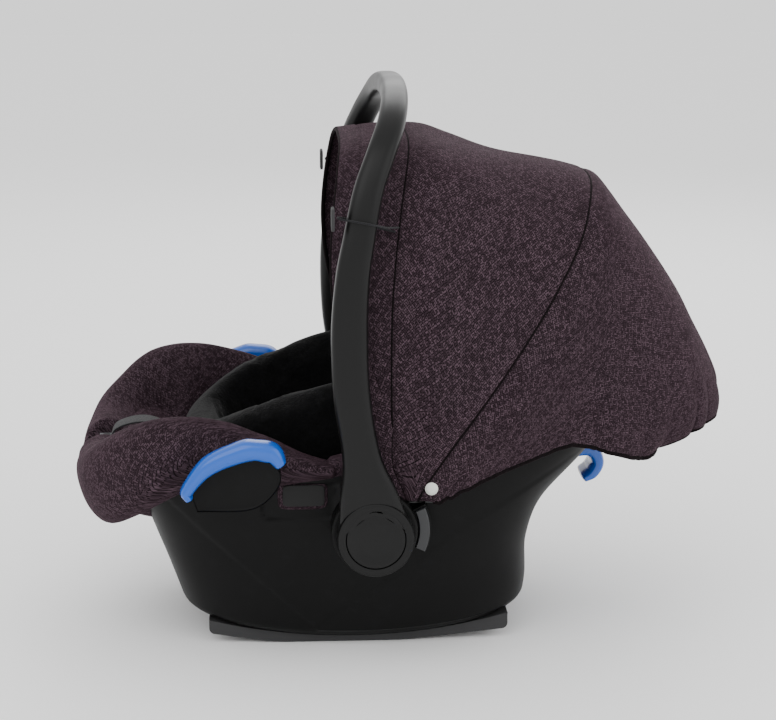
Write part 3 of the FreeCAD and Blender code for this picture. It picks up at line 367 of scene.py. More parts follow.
def ring_angles(count):
    """Angles that space points evenly round the moulding at its ledge."""
    angle = np.linspace(0, 2 * np.pi, 6001)
    line = np.stack(shell_at(angle, np.full_like(angle, 150.0)), 1)
    length = np.append(0, np.cumsum(np.linalg.norm(np.diff(line, axis=0), axis=1)))
    return np.interp(np.linspace(0, length[-1], count, endpoint=False), length, angle)


def lip_ring(angle, inset=0.0):
    """The lip at each angle: the height and the plan settle on each other in a few rounds."""
    z = np.full_like(angle, 200.0)
    for _ in range(14):
        x, y = shell_at(angle, z, inset, inset)
        z = lip_height(x)
    return x, y, z


def bowl(share, angle, inset, lift, rise=0.0, steepness=8):
    """The bucket's hollow: from its middle, share 0, to its rim, share 1, the height climbs from
    the floor to the rim as a high power of the share."""
    x, y, z = lip_ring(angle, inset)
    across = BOWL_MIDDLE + (x - BOWL_MIDDLE) * share
    bottom = floor_height(across) + lift
    return np.stack([across, y * share, bottom + (z + rise - bottom) * share**steepness], -1)


def shell_side(x, z, inset=0.0):
    """Half width of the moulding at a point of the side view."""
    ends = level_at(SHELL_LEVELS, z)
    front, rear, half, corner = (ends[..., k] for k in range(4))
    share = np.clip(np.abs(x - (front + rear) / 2) / ((rear - front) / 2), 0, 1)
    return (half + inset) * (1 - share**corner) ** (1 / corner)


# --- the canopy's form ---

# Cross-sections from beyond the front hem, over the bows and down round the gathered tail:
# place along the seat, top, half width, corner power, and the level the sides stand on.
ARCHES = [
    (-75, 510, 174, 3.8, 150),
    (12, 516.5, 184, 4.0, 150),
    (60, 508, 184.5, 3.5, 150),
    (110, 494, 184, 3.0, 150),
    (160, 482, 182, 2.7, 150),
    (203, 470.5, 178, 2.6, 150),
    (219, 460, 176, 2.55, 150),
    (241, 430, 171, 2.5, 150),
    (262, 400, 165, 2.45, 150),
    (292, 355, 150, 2.4, 153),
    (308, 322, 140, 2.4, 156),
    (324, 290, 124, 2.3, 162),
    (332, 270, 112, 2.3, 168),
    (333, 256, 104, 2.3, 174),
    (328, 242, 98, 2.3, 180),
    (320, 228, 92, 2.3, 187),
    (309, 212, 86, 2.3, 195),
]
# Side-view lines as height and place, from the bottom up.
HEM_LINE = [(150, 0), (178, -7), (190, -13), (250, -34), (330, -62), (400, -70), (450, -67)]
HEM_LINE += [(480, -63), (508, -58), (530, -50)]
FRONT_SEAM = [(150, 4), (176, 0), (200, -10), (250, -12), (304, -12.5), (381, -10), (445, -3)]
FRONT_SEAM += [(478, 2.5), (503, 8), (520, 12)]
REAR_SEAM = [(150, 6), (171, 14), (212, 40), (248, 66), (310, 110), (376, 154), (428, 184)]
REAR_SEAM += [(458, 196), (480, 206)]
FRONT_BOW = [(150, 12), (350, 12), (540, 12)]
REAR_BOW = [(150, -8), (181, 12), (479, 206), (540, 246)]
LOWER_EDGE = [(-20, 182), (0, 176), (14, 172), (30, 171), (66, 185), (128, 212), (170, 225)]
LOWER_EDGE += [(214, 214), (252, 205), (280, 211), (306, 222), (345, 232)]
PIVOT = (12, 181)
BOW_INSET = 4.6
BOW_STOP = 8
BOW_WIDTH = 10
BOW_DEPTH = 1.6


def arch_at(place, angle, inset=0.0):
    """A point of the canopy: a rounded rectangle over its foot level, angle 0 at the top. The
    inset shrinks the section evenly."""
    x, top, half, corner, foot = (table_at(ARCHES, place)[..., k] for k in range(5))
    rise = np.abs(np.cos(angle)) ** (2 / corner)
    y = (half - inset) * power(np.sin(angle), 2 / corner)
    return np.stack([x + 0 * angle, y, foot + (top - inset - foot) * rise], -1)


def place_of(x):
    """Which cross-section stands at a place along the seat, ahead of the tail."""
    places = np.linspace(0, 11, 900)
    return np.interp(x, table_at(ARCHES, places)[:, 0], places)


def edge_places(line, angle):
    """The cross-section a side-view line crosses at each angle: place and height settle on each
    other in a few rounds."""
    place = np.full_like(angle, place_of(line[-1][1]))
    for _ in range(16):
        height = arch_at(place, angle)[..., 2]
        place = place_of(level_at(line, height)[..., 0])
    return place


def canopy_grid(first, last, rows, columns):
    """A panel between two lines. Each row runs over the top from one lower edge to the other, and
    its points are even along it. A line given as a number is one cross-section."""
    angle = np.linspace(0, np.pi / 2, 500)
    starts = first if np.isscalar(first) else edge_places(first, angle)
    ends = last if np.isscalar(last) else edge_places(last, angle)
    share = np.linspace(0, 1, rows)[:, None]
    place = starts * (1 - share) + ends * share + 0 * angle
    grid = arch_at(place, np.broadcast_to(angle, place.shape))
    below = grid[..., 2] < level_at(LOWER_EDGE, grid[..., 0])[..., 0]
    made = []
    for line, low in zip(grid, below):
        stop = max(int(np.argmax(low)), 2)
        half = even(line[: stop + 1], (columns + 1) // 2)
        made.append(np.concatenate([mirrored(half[:0:-1]), half]))
    return np.array(made)


def pushed(grid, amount):
    """A grid moved outwards along its normals, away from the canopy's middle."""
    normal = facing(grid)
    middle = np.array([60.0, 0.0, 200.0])
    outward = np.sign(np.sum(normal * (grid - middle), 2, keepdims=True))
    return grid + normal * outward * np.asarray(amount)[..., None]


def edge_distance(grid):
    """How far each point lies from the first row, the last row and the nearer end of its row."""
    cloth = spacing(grid) / MM
    down = cloth[..., 1]
    half = np.abs(cloth[..., 0])
    return down, down[-1:] - down, half[:, -1:] - half


def seam_dip(distance, depth=1.8, width=4.0):
    """Cloth drawn in along a seam: a narrow bell curve of the distance from it."""
    return -depth * np.exp(-((distance / width) ** 2))


def hem_lift(distance, width=15.0, rise=0.7):
    """A folded hem: level over its width, with a stitched groove at its inner edge."""
    step = rise * (1 - smooth_step(width - 1.5, width + 1.5, distance))
    return step - 0.9 * np.exp(-(((distance - width) / 1.6) ** 2))


def soft_folds(grid, size, length):
    """Slack in stretched cloth: a few long waves that cross at slant angles."""
    x, y, z = (grid[..., k] for k in range(3))
    wave = np.sin((x * 0.8 + z * 0.6) / length * 2 * np.pi + 1.7 * np.sin(z / 61 + y / 83))
    cross = np.sin((z * 0.9 - x * 0.35) / (1.7 * length) * 2 * np.pi + 2.0 + y / 47)
    return size * (0.6 * wave + 0.4 * cross)


# --- padded rim ---

PAD_TOP = [(-330, 200), (-302, 204), (-298, 212), (-285, 231), (-262, 248), (-214, 255)]
PAD_TOP += [(-142, 236), (-94, 214), (-73, 207), (-20, 214)]
PAD_LOW = [(-330, 128), (-302, 130), (-290, 134), (-262, 152), (-219, 180), (-118, 188)]
PAD_LOW += [(-73, 193), (-20, 198)]
# Round the pad's section: distance outside the lip's plan, and share of the height.
END_SECTION = [(-6, 0.07), (10, 0.0), (24, 0.2), (31.5, 0.54), (28, 0.8), (12, 0.97), (-6, 0.95)]
END_SECTION += [(-22, 0.8), (-40, 0.45), (-56, 0.12), (-52, -0.04), (-36, 0.0), (-20, 0.06)]
SIDE_SECTION = [(1, 0.0), (5, -0.02), (9.5, 0.25), (10.5, 0.45), (8, 0.7), (2, 0.92), (-8, 1.0)]
SIDE_SECTION += [(-19, 0.85), (-26, 0.55), (-29, -0.05), (-24, -0.14), (-14, -0.1), (-5, -0.06)]
HEAD_SECTION = [(-1, -0.9), (1, -0.5), (2.2, 0.0), (2.4, 0.3), (1.5, 0.6), (-3, 0.9), (-11, 1.0)]
HEAD_SECTION += [(-19, 0.8), (-25, 0.3), (-27, -0.5), (-22, -0.9), (-14, -0.8), (-6, -0.8)]
PAD_END_X = -73
BEZEL_HALF = 24


def around(points, count):
    """Points on the smooth closed curve through a few, evenly spaced from point to point."""
    points = np.asarray(points, float)
    looped = np.vstack([points[-2:], points, points[:3]])
    return table_at(looped, np.linspace(2, len(points) + 2, count, endpoint=False))


def plan_path(low, high, count, level=200.0):
    """Evenly spaced plan points of the lip between two angles, with the outward directions."""
    angle = np.linspace(low, high, 4000)
    x, y = shell_at(angle, np.full_like(angle, level))
    path = even(np.stack([x, y], 1), count)
    along = np.gradient(path, axis=0)
    out = np.stack([along[:, 1], -along[:, 0]], 1)
    out /= np.linalg.norm(out, axis=1, keepdims=True)
    return path, out


def angle_where(x):
    """The angle of the lip's plan at a place along the seat, on the right side."""
    angle = np.linspace(0.02, np.pi - 0.02, 3000)
    return np.interp(-x, -shell_at(angle, np.full_like(angle, 200.0))[0], angle)


def capped(grid):
    """Close a grid of rings with rounded ends that shrink to a point."""
    quarter = np.linspace(0, np.pi / 2, 7)[1:]

    def cap(ring, step):
        middle = ring.mean(0)
        return [
            middle + (ring - middle) * math.cos(q) + step * math.sin(q) for q in quarter
        ]

    reach = 7.0
    first = grid[0].mean(0) - grid[1].mean(0)
    last = grid[-1].mean(0) - grid[-2].mean(0)
    start = cap(grid[0], first / np.linalg.norm(first) * reach)
    finish = cap(grid[-1], last / np.linalg.norm(last) * reach)
    return np.concatenate([start[::-1], grid, finish])


def foot_pad_grid():
    """The pad round the foot end: its section changes from the end's to the side's as it goes
    round the lip, and its height follows two side-view lines."""
    turn = angle_where(PAD_END_X)
    path, out = plan_path(turn, 2 * np.pi - turn, 260)
    share = (1 - smooth_step(-262, -186, path[:, 0]))[:, None, None]
    section = around(END_SECTION, 84)[None] * share + around(SIDE_SECTION, 84)[None] * (1 - share)
    flat = path[:, None] + out[:, None] * section[..., :1]
    low = level_at(PAD_LOW, path[:, 0])
    high = level_at(PAD_TOP, path[:, 0])
    height = low + section[..., 1] * (high - low)
    grid = np.concatenate([flat, height[..., None]], 2)
    length = np.append(0, np.cumsum(np.linalg.norm(np.diff(path, axis=0), axis=1)))[:, None]
    ripple = 0.9 * np.sin(length / 21 + 3 * section[..., 1]) * np.sin(length / 47 + 1)
    ripple = ripple + 0.5 * np.sin(length / 9.5 + 1.3 * np.sin(length / 33))
    upper = smooth_step(0.1, 0.6, section[..., 1])
    lift = np.concatenate([out[:, None] * upper[..., None], upper[..., None]], 2)
    grid = grid + lift * ripple[..., None]
    middle = 1 - smooth_step(BEZEL_HALF, BEZEL_HALF + 9, np.abs(grid[..., 1]))
    front = 1 - smooth_step(-296, -288, grid[..., 0])
    seat = np.minimum(grid[..., 2], 179.5 + 0.05 * (grid[..., 2] - 179.5))
    grid[..., 2] += (seat - grid[..., 2]) * middle * front * (grid[..., 0] < -285)
    return grid


def head_pad_grid():
    """The narrower pad round the rest of the lip, with the same carried section."""
    turn = angle_where(PAD_END_X + 2)
    angle = np.linspace(turn, -turn, 3000)
    x, y, z = lip_ring(angle)
    line = even(np.stack([x, y, z], 1), 200)
    along = np.gradient(line[:, :2], axis=0)
    out = np.stack([-along[:, 1], along[:, 0]], 1)
    out /= np.linalg.norm(out, axis=1, keepdims=True)
    section = around(HEAD_SECTION, 60)
    flat = line[:, None, :2] + out[:, None] * section[None, :, :1]
    rise = 13 + 0.6 * np.sin(np.arange(len(line)) / 4.3)
    height = line[:, 2:] + rise[:, None] * section[None, :, 1]
    return np.concatenate([flat, height[..., None]], 2)


# --- materials ---


def linear(code):
    """A hexadecimal sRGB colour, or a setting's own linear one, as linear values with alpha."""
    if not isinstance(code, str):
        return (*code, 1.0)
    parts = [int(code[k : k + 2], 16) / 255 for k in (1, 3, 5)]
    parts = [p / 12.92 if p <= 0.04045 else ((p + 0.055) / 1.055) ** 2.4 for p in parts]
    return (*parts, 1.0)


def add_node(tree, kind, settings=None, **inputs):
    """Add a node, with its own settings and with values or sockets for its inputs. An input is
    given by its name, or as n and its number."""
    node = tree.nodes.new("ShaderNode" + kind)
    for key, value in (settings or {}).items():
        setattr(node, key, value)
    for key, value in inputs.items():
        numbered = key[0] == "n" and key[1:].isdigit()
        socket = node.inputs[int(key[1:]) if numbered else key.replace("_", " ")]
        if isinstance(value, bpy.types.NodeSocket):
            tree.links.new(value, socket)
        else:
            socket.default_value = value
    return node


def new_material(name, **values):
    """An empty material with a Principled shader whose named sockets are set."""
    material = bpy.data.materials.new(name)
    material.use_nodes = True
    tree = material.node_tree
    shader = tree.nodes["Principled BSDF"]
    for key, value in values.items():
        shader.inputs[key.replace("_", " ")].default_value = value
    return tree, shader


def weave(name, thread, light, gap, sheen=0.16, depth=0.6):
    """Coarse woven cloth. Slanted floats 4.6 mm long and 2 mm wide lie like staggered bricks, and
    they lean the other way in every second square, drawn a little coarser than the real thread."""
    tree, shader = new_material(name, Roughness=0.9, Sheen_Weight=sheen, Sheen_Roughness=0.5)
    shader.inputs["Sheen Tint"].default_value = linear("#8a6475")
    shader.inputs["Specular IOR Level"].default_value = 0.08
    cloth = add_node(tree, "TexCoord").outputs["UV"]
    floats = []
    for lean in (38, -38):
        turned = add_node(
            tree,
            "Mapping",
            Vector=cloth,
            Scale=(1000, 1000, 1000),
            Rotation=(0, 0, math.radians(lean)),
        )
        floats.append(
            add_node(
                tree,
                "TexBrick",
                {"offset": 0.5},
                Vector=turned.outputs[0],
                Color1=linear(thread),
                Color2=linear(light),
                Mortar=linear(gap),
                Scale=1.0,
                Mortar_Size=0.42,
                Mortar_Smooth=0.7,
                Bias=-0.2,
                Brick_Width=4.6,
                Row_Height=2.0,
            )
        )
    squares = add_node(tree, "TexChecker", Vector=cloth, Scale=1000 / 4.4)
    colours = add_node(
        tree,
        "Mix",
        {"data_type": "RGBA"},
        n0=squares.outputs["Fac"],
        n6=floats[0].outputs["Color"],
        n7=floats[1].outputs["Color"],
    )
    height = add_node(
        tree,
        "Mix",
        n0=squares.outputs["Fac"],
        n2=floats[0].outputs["Fac"],
        n3=floats[1].outputs["Fac"],
    )
    fade = add_node(tree, "TexNoise", Vector=cloth, Scale=22.0, Detail=3.0)
    shade = add_node(tree, "MapRange", Value=fade.outputs["Fac"], To_Min=0.78, To_Max=1.08)
    multiply = {"data_type": "RGBA", "blend_type": "MULTIPLY"}
    tint = add_node(tree, "Mix", multiply, Factor=1.0, n6=colours.outputs[2])
    tree.links.new(shade.outputs[0], tint.inputs[7])
    tree.links.new(tint.outputs[2], shader.inputs["Base Color"])
    bump = add_node(
        tree, "Bump", {"invert": True}, Height=height.outputs[0], Strength=depth, Distance=0.0006
    )
    tree.links.new(bump.outputs[0], shader.inputs["Normal"])


def moulded(
    name,
    colour,
    roughness,
    grain=1400.0,
    depth=0.12,
    coat=0.0,
    spread=0.1,
    worn=None,
    gloss=0.5,
):
    """Injection-moulded plastic: fine spark-eroded grain, and roughness that drifts a little."""
    tree, shader = new_material(name, Base_Color=linear(colour), Coat_Weight=coat)
    shader.inputs["Specular IOR Level"].default_value = gloss
    place = add_node(tree, "TexCoord").outputs["Object"]
    drift = add_node(tree, "TexNoise", Vector=place, Scale=14.0, Detail=4.0)
    rough = add_node(
        tree,
        "MapRange",
        Value=drift.outputs["Fac"],
        From_Min=0.3,
        From_Max=0.7,
        To_Min=roughness - spread / 2,
        To_Max=roughness + spread / 2,
    )
    tree.links.new(rough.outputs[0], shader.inputs["Roughness"])
    if worn:
        patch = add_node(tree, "TexNoise", Vector=place, Scale=60.0, Detail=6.0, Roughness=0.7)
        mask = add_node(tree, "MapRange", Value=patch.outputs["Fac"], From_Min=0.55, From_Max=0.8)
        colours = add_node(
            tree, "Mix", {"data_type": "RGBA"}, n6=linear(colour), n7=linear(worn)
        )
        tree.links.new(mask.outputs[0], colours.inputs[0])
        tree.links.new(colours.outputs[2], shader.inputs["Base Color"])
    if depth:
        texture = add_node(tree, "TexNoise", Vector=place, Scale=grain, Detail=2.0)
        bump = add_node(tree, "Bump", Height=texture.outputs["Fac"], Strength=depth, Distance=0.0002)
        tree.links.new(bump.outputs[0], shader.inputs["Normal"])


def plush(name, colour, tip_highlight, length_scale=330.0):
    """Short cut pile: clumped tips painted a shade lighter than the deep pile, a painted highlight
    on the tips and painted shade in the pile, and strong sheen.
    """
    tree, shader = new_material(
        name, Roughness=1.0, Sheen_Weight=0.1, Sheen_Roughness=0.4
    )
    shader.inputs["Specular IOR Level"].default_value = 0.1
    place = add_node(tree, "TexCoord").outputs["Object"]
    clump = add_node(tree, "TexNoise", Vector=place, Scale=length_scale, Detail=4.0, Roughness=0.65)
    swirl = add_node(tree, "TexNoise", Vector=place, Scale=34.0, Detail=3.0, Distortion=1.5)
    both = add_node(
        tree, "Math", {"operation": "MULTIPLY"}, n0=clump.outputs["Fac"], n1=swirl.outputs["Fac"]
    )
    # Painted highlight: where the noise lifts the pile, its colour turns to the lighter tip colour.
    mask = add_node(tree, "MapRange", Value=both.outputs[0], From_Min=0.12, From_Max=0.42)
    colours = add_node(tree, "Mix", {"data_type": "RGBA"}, n6=linear(colour), n7=linear(tip_highlight))
    tree.links.new(mask.outputs[0], colours.inputs[0])
    tree.links.new(colours.outputs[2], shader.inputs["Base Color"])
    bump = add_node(tree, "Bump", Height=both.outputs[0], Strength=0.9, Distance=0.0022)
    tree.links.new(bump.outputs[0], shader.inputs["Normal"])


def webbing(name, colour, rib_highlight):
    """Woven polyester tape: ribs across it, a shade lighter at their crests as a painted highlight.
    """
    tree, shader = new_material(name, Roughness=0.7, Sheen_Weight=0.08)
    shader.inputs["Specular IOR Level"].default_value = 0.2
    cloth = add_node(tree, "TexCoord").outputs["UV"]
    waves = add_node(
        tree,
        "TexWave",
        {"wave_type": "BANDS", "bands_direction": "Y"},
        Vector=cloth,
        Scale=260.0,
        Distortion=0.4,
        Detail=1.0,
    )
    # Painted highlight: the rib crests take the lighter colour.
    colours = add_node(tree, "Mix", {"data_type": "RGBA"}, n6=linear(colour), n7=linear(rib_highlight))
    tree.links.new(waves.outputs["Fac"], colours.inputs[0])
    tree.links.new(colours.outputs[2], shader.inputs["Base Color"])
    bump = add_node(tree, "Bump", Height=waves.outputs["Fac"], Strength=0.5, Distance=0.0004)
    tree.links.new(bump.outputs[0], shader.inputs["Normal"])


def zinc_steel(name):
    """Zinc-plated steel: bright, faintly blue, with fine drawing lines."""
    tree, shader = new_material(name, Base_Color=linear("#b9bcc0"), Metallic=1.0)
    place = add_node(tree, "TexCoord").outputs["Object"]
    stretched = add_node(tree, "Mapping", Vector=place, Scale=(900, 60, 900)).outputs[0]
    lines = add_node(tree, "TexNoise", Vector=stretched, Scale=1.0, Detail=3.0)
    rough = add_node(tree, "MapRange", Value=lines.outputs["Fac"], To_Min=0.22, To_Max=0.45)
    tree.links.new(rough.outputs[0], shader.inputs["Roughness"])


def bead_foam(name):
    """Expanded bead foam: white cells about 4 mm across with fine grooves between them."""
    tree, shader = new_material(name, Base_Color=linear("#e4e4e0"), Roughness=0.8)
    place = add_node(tree, "TexCoord").outputs["Object"]
    cells = add_node(tree, "TexVoronoi", {"feature": "DISTANCE_TO_EDGE"}, Vector=place, Scale=250.0)
    bump = add_node(tree, "Bump", Height=cells.outputs["Distance"], Strength=0.6, Distance=0.001)
    tree.links.new(bump.outputs[0], shader.inputs["Normal"])


def make_materials(colours):
    """Every finish the seat shows, each named for the real material."""
    # Polyester jacquard: plum and grey floats about 2.6 mm long over a near-black ground.
    weave("jacquard_polyester", colours.cloth_dark, colours.cloth_light, "#0a0708")
    # The same cloth folded into welts and hems, darkened as painted shade so the seams and hems read
    # as dark lines.
    weave("jacquard_welt", "#0d090a", "#171113", "#070505", sheen=0.05)
    # Polypropylene shell: dull black off a fine eroded mould, scuffed a little greyer.
    moulded("polypropylene_shell", colours.shell, 0.5, depth=0.2, worn="#0d0d0e", gloss=0.14)
    # Polyamide handle: smoother, satin, so it takes long soft highlights.
    moulded("polyamide_handle", colours.handle, 0.36, depth=0.08, gloss=0.22)
    # Belt guides are ABS in a polished mould, brightly glossy.
    moulded("abs_blue", colours.blue, 0.2, depth=0.0, coat=0.15, spread=0.06)
    moulded("polypropylene_grey", "#242527", 0.45, depth=0.15)
    moulded("thermoplastic_rubber", "#2c2c2d", 0.85, grain=700, depth=0.4)
    moulded("acetal_black", "#121213", 0.3, depth=0.05)
    moulded("abs_red", "#a3150f", 0.25, depth=0.0, spread=0.05)
    moulded("nylon_white", "#cfcfc9", 0.35, depth=0.05)
    moulded("polypropylene_light", "#6f7173", 0.4, depth=0.1)
    # Fleece-like polyester plush, the insert and the pads, with a painted highlight on the pile's
    # tips.
    plush("polyester_plush", "#030303", "#0f0f10")
    # Hook tape in the same pile finish, its tips made lighter by a painted highlight.
    plush("hook_tape", "#040404", "#141415", length_scale=900.0)
    # Webbing and covered elastic: the second colour is a painted highlight on the rib crests.
    webbing("polyester_webbing", "#0c0c0d", "#232326")
    webbing("covered_elastic", "#08080a", "#1c1c20")
    zinc_steel("zinc_steel")
    bead_foam("polystyrene_foam")

# --- settings ---


class CarrierSeatSettings(bpy.types.PropertyGroup):
    """Sizes and colours a user may change before building the seat again."""

    cloth_dark: FloatVectorProperty(
        name="Cloth, dark thread",
        description="Colour of the cloth's darker floats",
        subtype="COLOR",
        default=linear("#2c2127")[:3],
    )
    cloth_light: FloatVectorProperty(
        name="Cloth, light thread",
        description="Colour of the cloth's lighter floats",
        subtype="COLOR",
        default=linear("#57464f")[:3],
    )
    shell: FloatVectorProperty(
        name="Shell",
        description="Colour of the moulded shell",
        subtype="COLOR",
        default=linear("#060606")[:3],
    )
    handle: FloatVectorProperty(
        name="Handle",
        description="Colour of the carrying handle",
        subtype="COLOR",
        default=linear("#0b0b0b")[:3],
    )
    blue: FloatVectorProperty(
        name="Belt guides",
        description="Colour of the belt guides and the rear belt hook",
        subtype="COLOR",
        default=linear("#0550b0")[:3],
    )
    cloth_thickness: FloatProperty(
        name="Cloth thickness",
        description="Thickness of the canopy's cloth with its backing",
        default=0.0025,
        min=0.0005,
        max=0.006,
        unit="LENGTH",
    )
    slack: FloatProperty(
        name="Slack",
        description="Height of the slow waves in the stretched canopy",
        default=0.0013,
        min=0.0,
        max=0.004,
        unit="LENGTH",
    )
    gather: FloatProperty(
        name="Gather depth",
        description="Height of the folds where elastic draws in the rear hem",
        default=0.0034,
        min=0.0,
        max=0.006,
        unit="LENGTH",
    )
    gather_folds: IntProperty(
        name="Gather folds",
        description="Number of folds along the rear hem",
        default=29,
        min=5,
        max=80,
    )
    pressure: FloatProperty(
        name="Padding pressure",
        description="Inflation pressure of the stuffed pieces",
        default=4.0,
        min=0.0,
        max=10.0,
    )
    light: FloatProperty(
        name="Studio light",
        description="Power of the main light",
        default=30.0,
        min=0.0,
        unit="POWER",
    )


# --- stage and camera ---

CAMERA_AIM = (-0.006, 0.0, 0.271)
CAMERA_BACK = 2.4
CAMERA_RISE = 13.3
CAMERA_TURN = -3.2
CAMERA_LENS = 104.5


class CARRIER_OT_stage(bpy.types.Operator):
    """Pale floor, three large soft lights, a white surround and the camera"""

    bl_idname = "carrier.stage"
    bl_label = "Stage"

    def execute(self, context):
        settings = context.scene.carrier_seat
        make_materials(settings)
        new_material("studio_floor", Base_Color=linear("#ffffff"), Roughness=0.8)
        bpy.ops.mesh.primitive_plane_add(size=14, location=(0, 0, -0.0005))
        floor = context.object
        floor.name = "studio_floor"
        floor.data.materials.append(bpy.data.materials["studio_floor"])
        floor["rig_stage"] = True
        aim = Vector(CAMERA_AIM)
        for name, at, size, share in (
            ("key_light", (-1.1, -1.9, 2.3), 2.4, 1.0),
            ("fill_light", (1.9, -1.6, 1.5), 2.2, 0.55),
            ("rim_light", (0.5, 1.9, 1.8), 2.0, 0.7),
        ):
            lamp = bpy.data.lights.new(name, "AREA")
            lamp.size = size
            lamp.energy = settings.light * share
            holder = bpy.data.objects.new(name, lamp)
            holder.location = at
            holder.rotation_euler = (Vector(at) - aim).to_track_quat("Z", "Y").to_euler()
            context.scene.collection.objects.link(holder)
        world = bpy.data.worlds.new("studio")
        world.use_nodes = True
        world.node_tree.nodes["Background"].inputs["Color"].default_value = (1, 1, 1, 1)
        world.node_tree.nodes["Background"].inputs["Strength"].default_value = 1.3
        context.scene.world = world
        rise, turn = math.radians(CAMERA_RISE), math.radians(CAMERA_TURN)
        back = Vector(
            (math.sin(turn) * math.cos(rise), -math.cos(turn) * math.cos(rise), math.sin(rise))
        )
        camera = bpy.data.objects.new("camera", bpy.data.cameras.new("camera"))
        camera.data.lens = CAMERA_LENS
        camera.location = aim + back * CAMERA_BACK
        camera.rotation_euler = back.to_track_quat("Z", "Y").to_euler()
        context.scene.collection.objects.link(camera)
        context.scene.camera = camera
        return {"FINISHED"}


# --- elastic loops ---

LOOP_ROUTE = [(-5, -166, 443), (-16, -187.5, 446), (-28, -206.5, 452), (-48, -213.5, 457)]
LOOP_ROUTE += [(-63, -210.5, 459), (-66.5, -200.5, 459), (-63, -184.5, 457), (-48, -177.5, 452)]
LOOP_ROUTE += [(-26, -173.5, 444), (-8, -167, 439)]
LOOP_DIAMETER = 0.002


class CARRIER_OT_loops(bpy.types.Operator):
    """Elastic loops that hook the canopy over the handle: a round cord along the points of its
    route, as a NURBS curve of order three, with a moulded rubber tag round it"""

    bl_idname = "carrier.loops"
    bl_label = "Elastic Loops"

    def execute(self, context):
        for side, sign in (("left", 1), ("right", -1)):
            route = np.array(LOOP_ROUTE) * [1, sign, 1]
            curve = bpy.data.curves.new("elastic_cord_" + side, "CURVE")
            curve.dimensions = "3D"
            spline = curve.splines.new("NURBS")
            spline.points.add(len(route) - 1)
            weighted = np.column_stack([route * MM, np.ones(len(route))])
            spline.points.foreach_set("co", weighted.ravel())
            spline.order_u = 3
            spline.use_endpoint_u = True
            spline.resolution_u = 12
            curve.bevel_depth = LOOP_DIAMETER / 2
            curve.bevel_resolution = 3
            curve.use_fill_caps = True
            curve.materials.append(bpy.data.materials["covered_elastic"])
            cord = bpy.data.objects.new("elastic_cord_" + side, curve)
            context.scene.collection.objects.link(cord)
            settle(cord, "canopy_front", "elastic", "elastic_loop_" + side)
            low = (-72, -212.5, 447) if sign > 0 else (-72, 190.5, 447)
            high = (-68.6, -190.5, 469) if sign > 0 else (-68.6, 212.5, 469)
            tag = surface(
                "rubber_tag_" + side,
                block(low, high, 7, 16),
                material="thermoplastic_rubber",
                solid=True,
            )
            settle(tag, "canopy_front", "loop_rubber", "loop_tag_" + side)
        return {"FINISHED"}


# --- canopy ---

PANEL_SAG = 2.6


def gathered(grid, height, folds):
    """Folds of a gathered hem: a wave in the turn about the seat's head end, slightly uneven,
    strongest at the elastic and gone a little way above it."""
    x, y, z = (grid[..., k] for k in range(3))
    turn = np.arctan2(y, x - 190)
    phase = turn * folds + 1.1 * np.sin(turn * 7.3) + 0.8 * np.sin(turn * 17.0 + 1)
    low = level_at(LOWER_EDGE, x)[..., 0]
    above = z - low
    fade = np.exp(-((above / 34) ** 2)) + 0.22 * np.exp(-((above / 95) ** 2))
    fade = fade * smooth_step(168, 226, x)
    sharp = np.abs(np.sin(phase / 2)) ** 0.8 * 2 - 1.1
    return height * fade * sharp * (0.8 + 0.2 * np.sin(turn * 11))


def tucked(grid, top=268.0, depth=58.0, pull=34.0):
    """Draw the tail in under itself: below a level the cloth moves towards the seat's middle line
    by a quarter round of the depth it has dropped."""
    x, y, z = (grid[..., k] for k in range(3))
    drop = np.clip((top - z) / depth, 0, 1)
    inward = pull * (1 - np.sqrt(1 - 0.98 * drop**2)) * smooth_step(215, 300, x)
    away = np.stack([x - 170, 0.8 * y, 0 * z], -1)
    away /= np.maximum(np.linalg.norm(away, axis=-1, keepdims=True), 1e-6)
    return grid - away * inward[..., None]


def tube_round(line, radius, steps=12):
    """A round cord along a line of points, with shrunk ends."""
    return rod(line, radius, radius, side=(0.3, 0.2, 1), steps=steps)


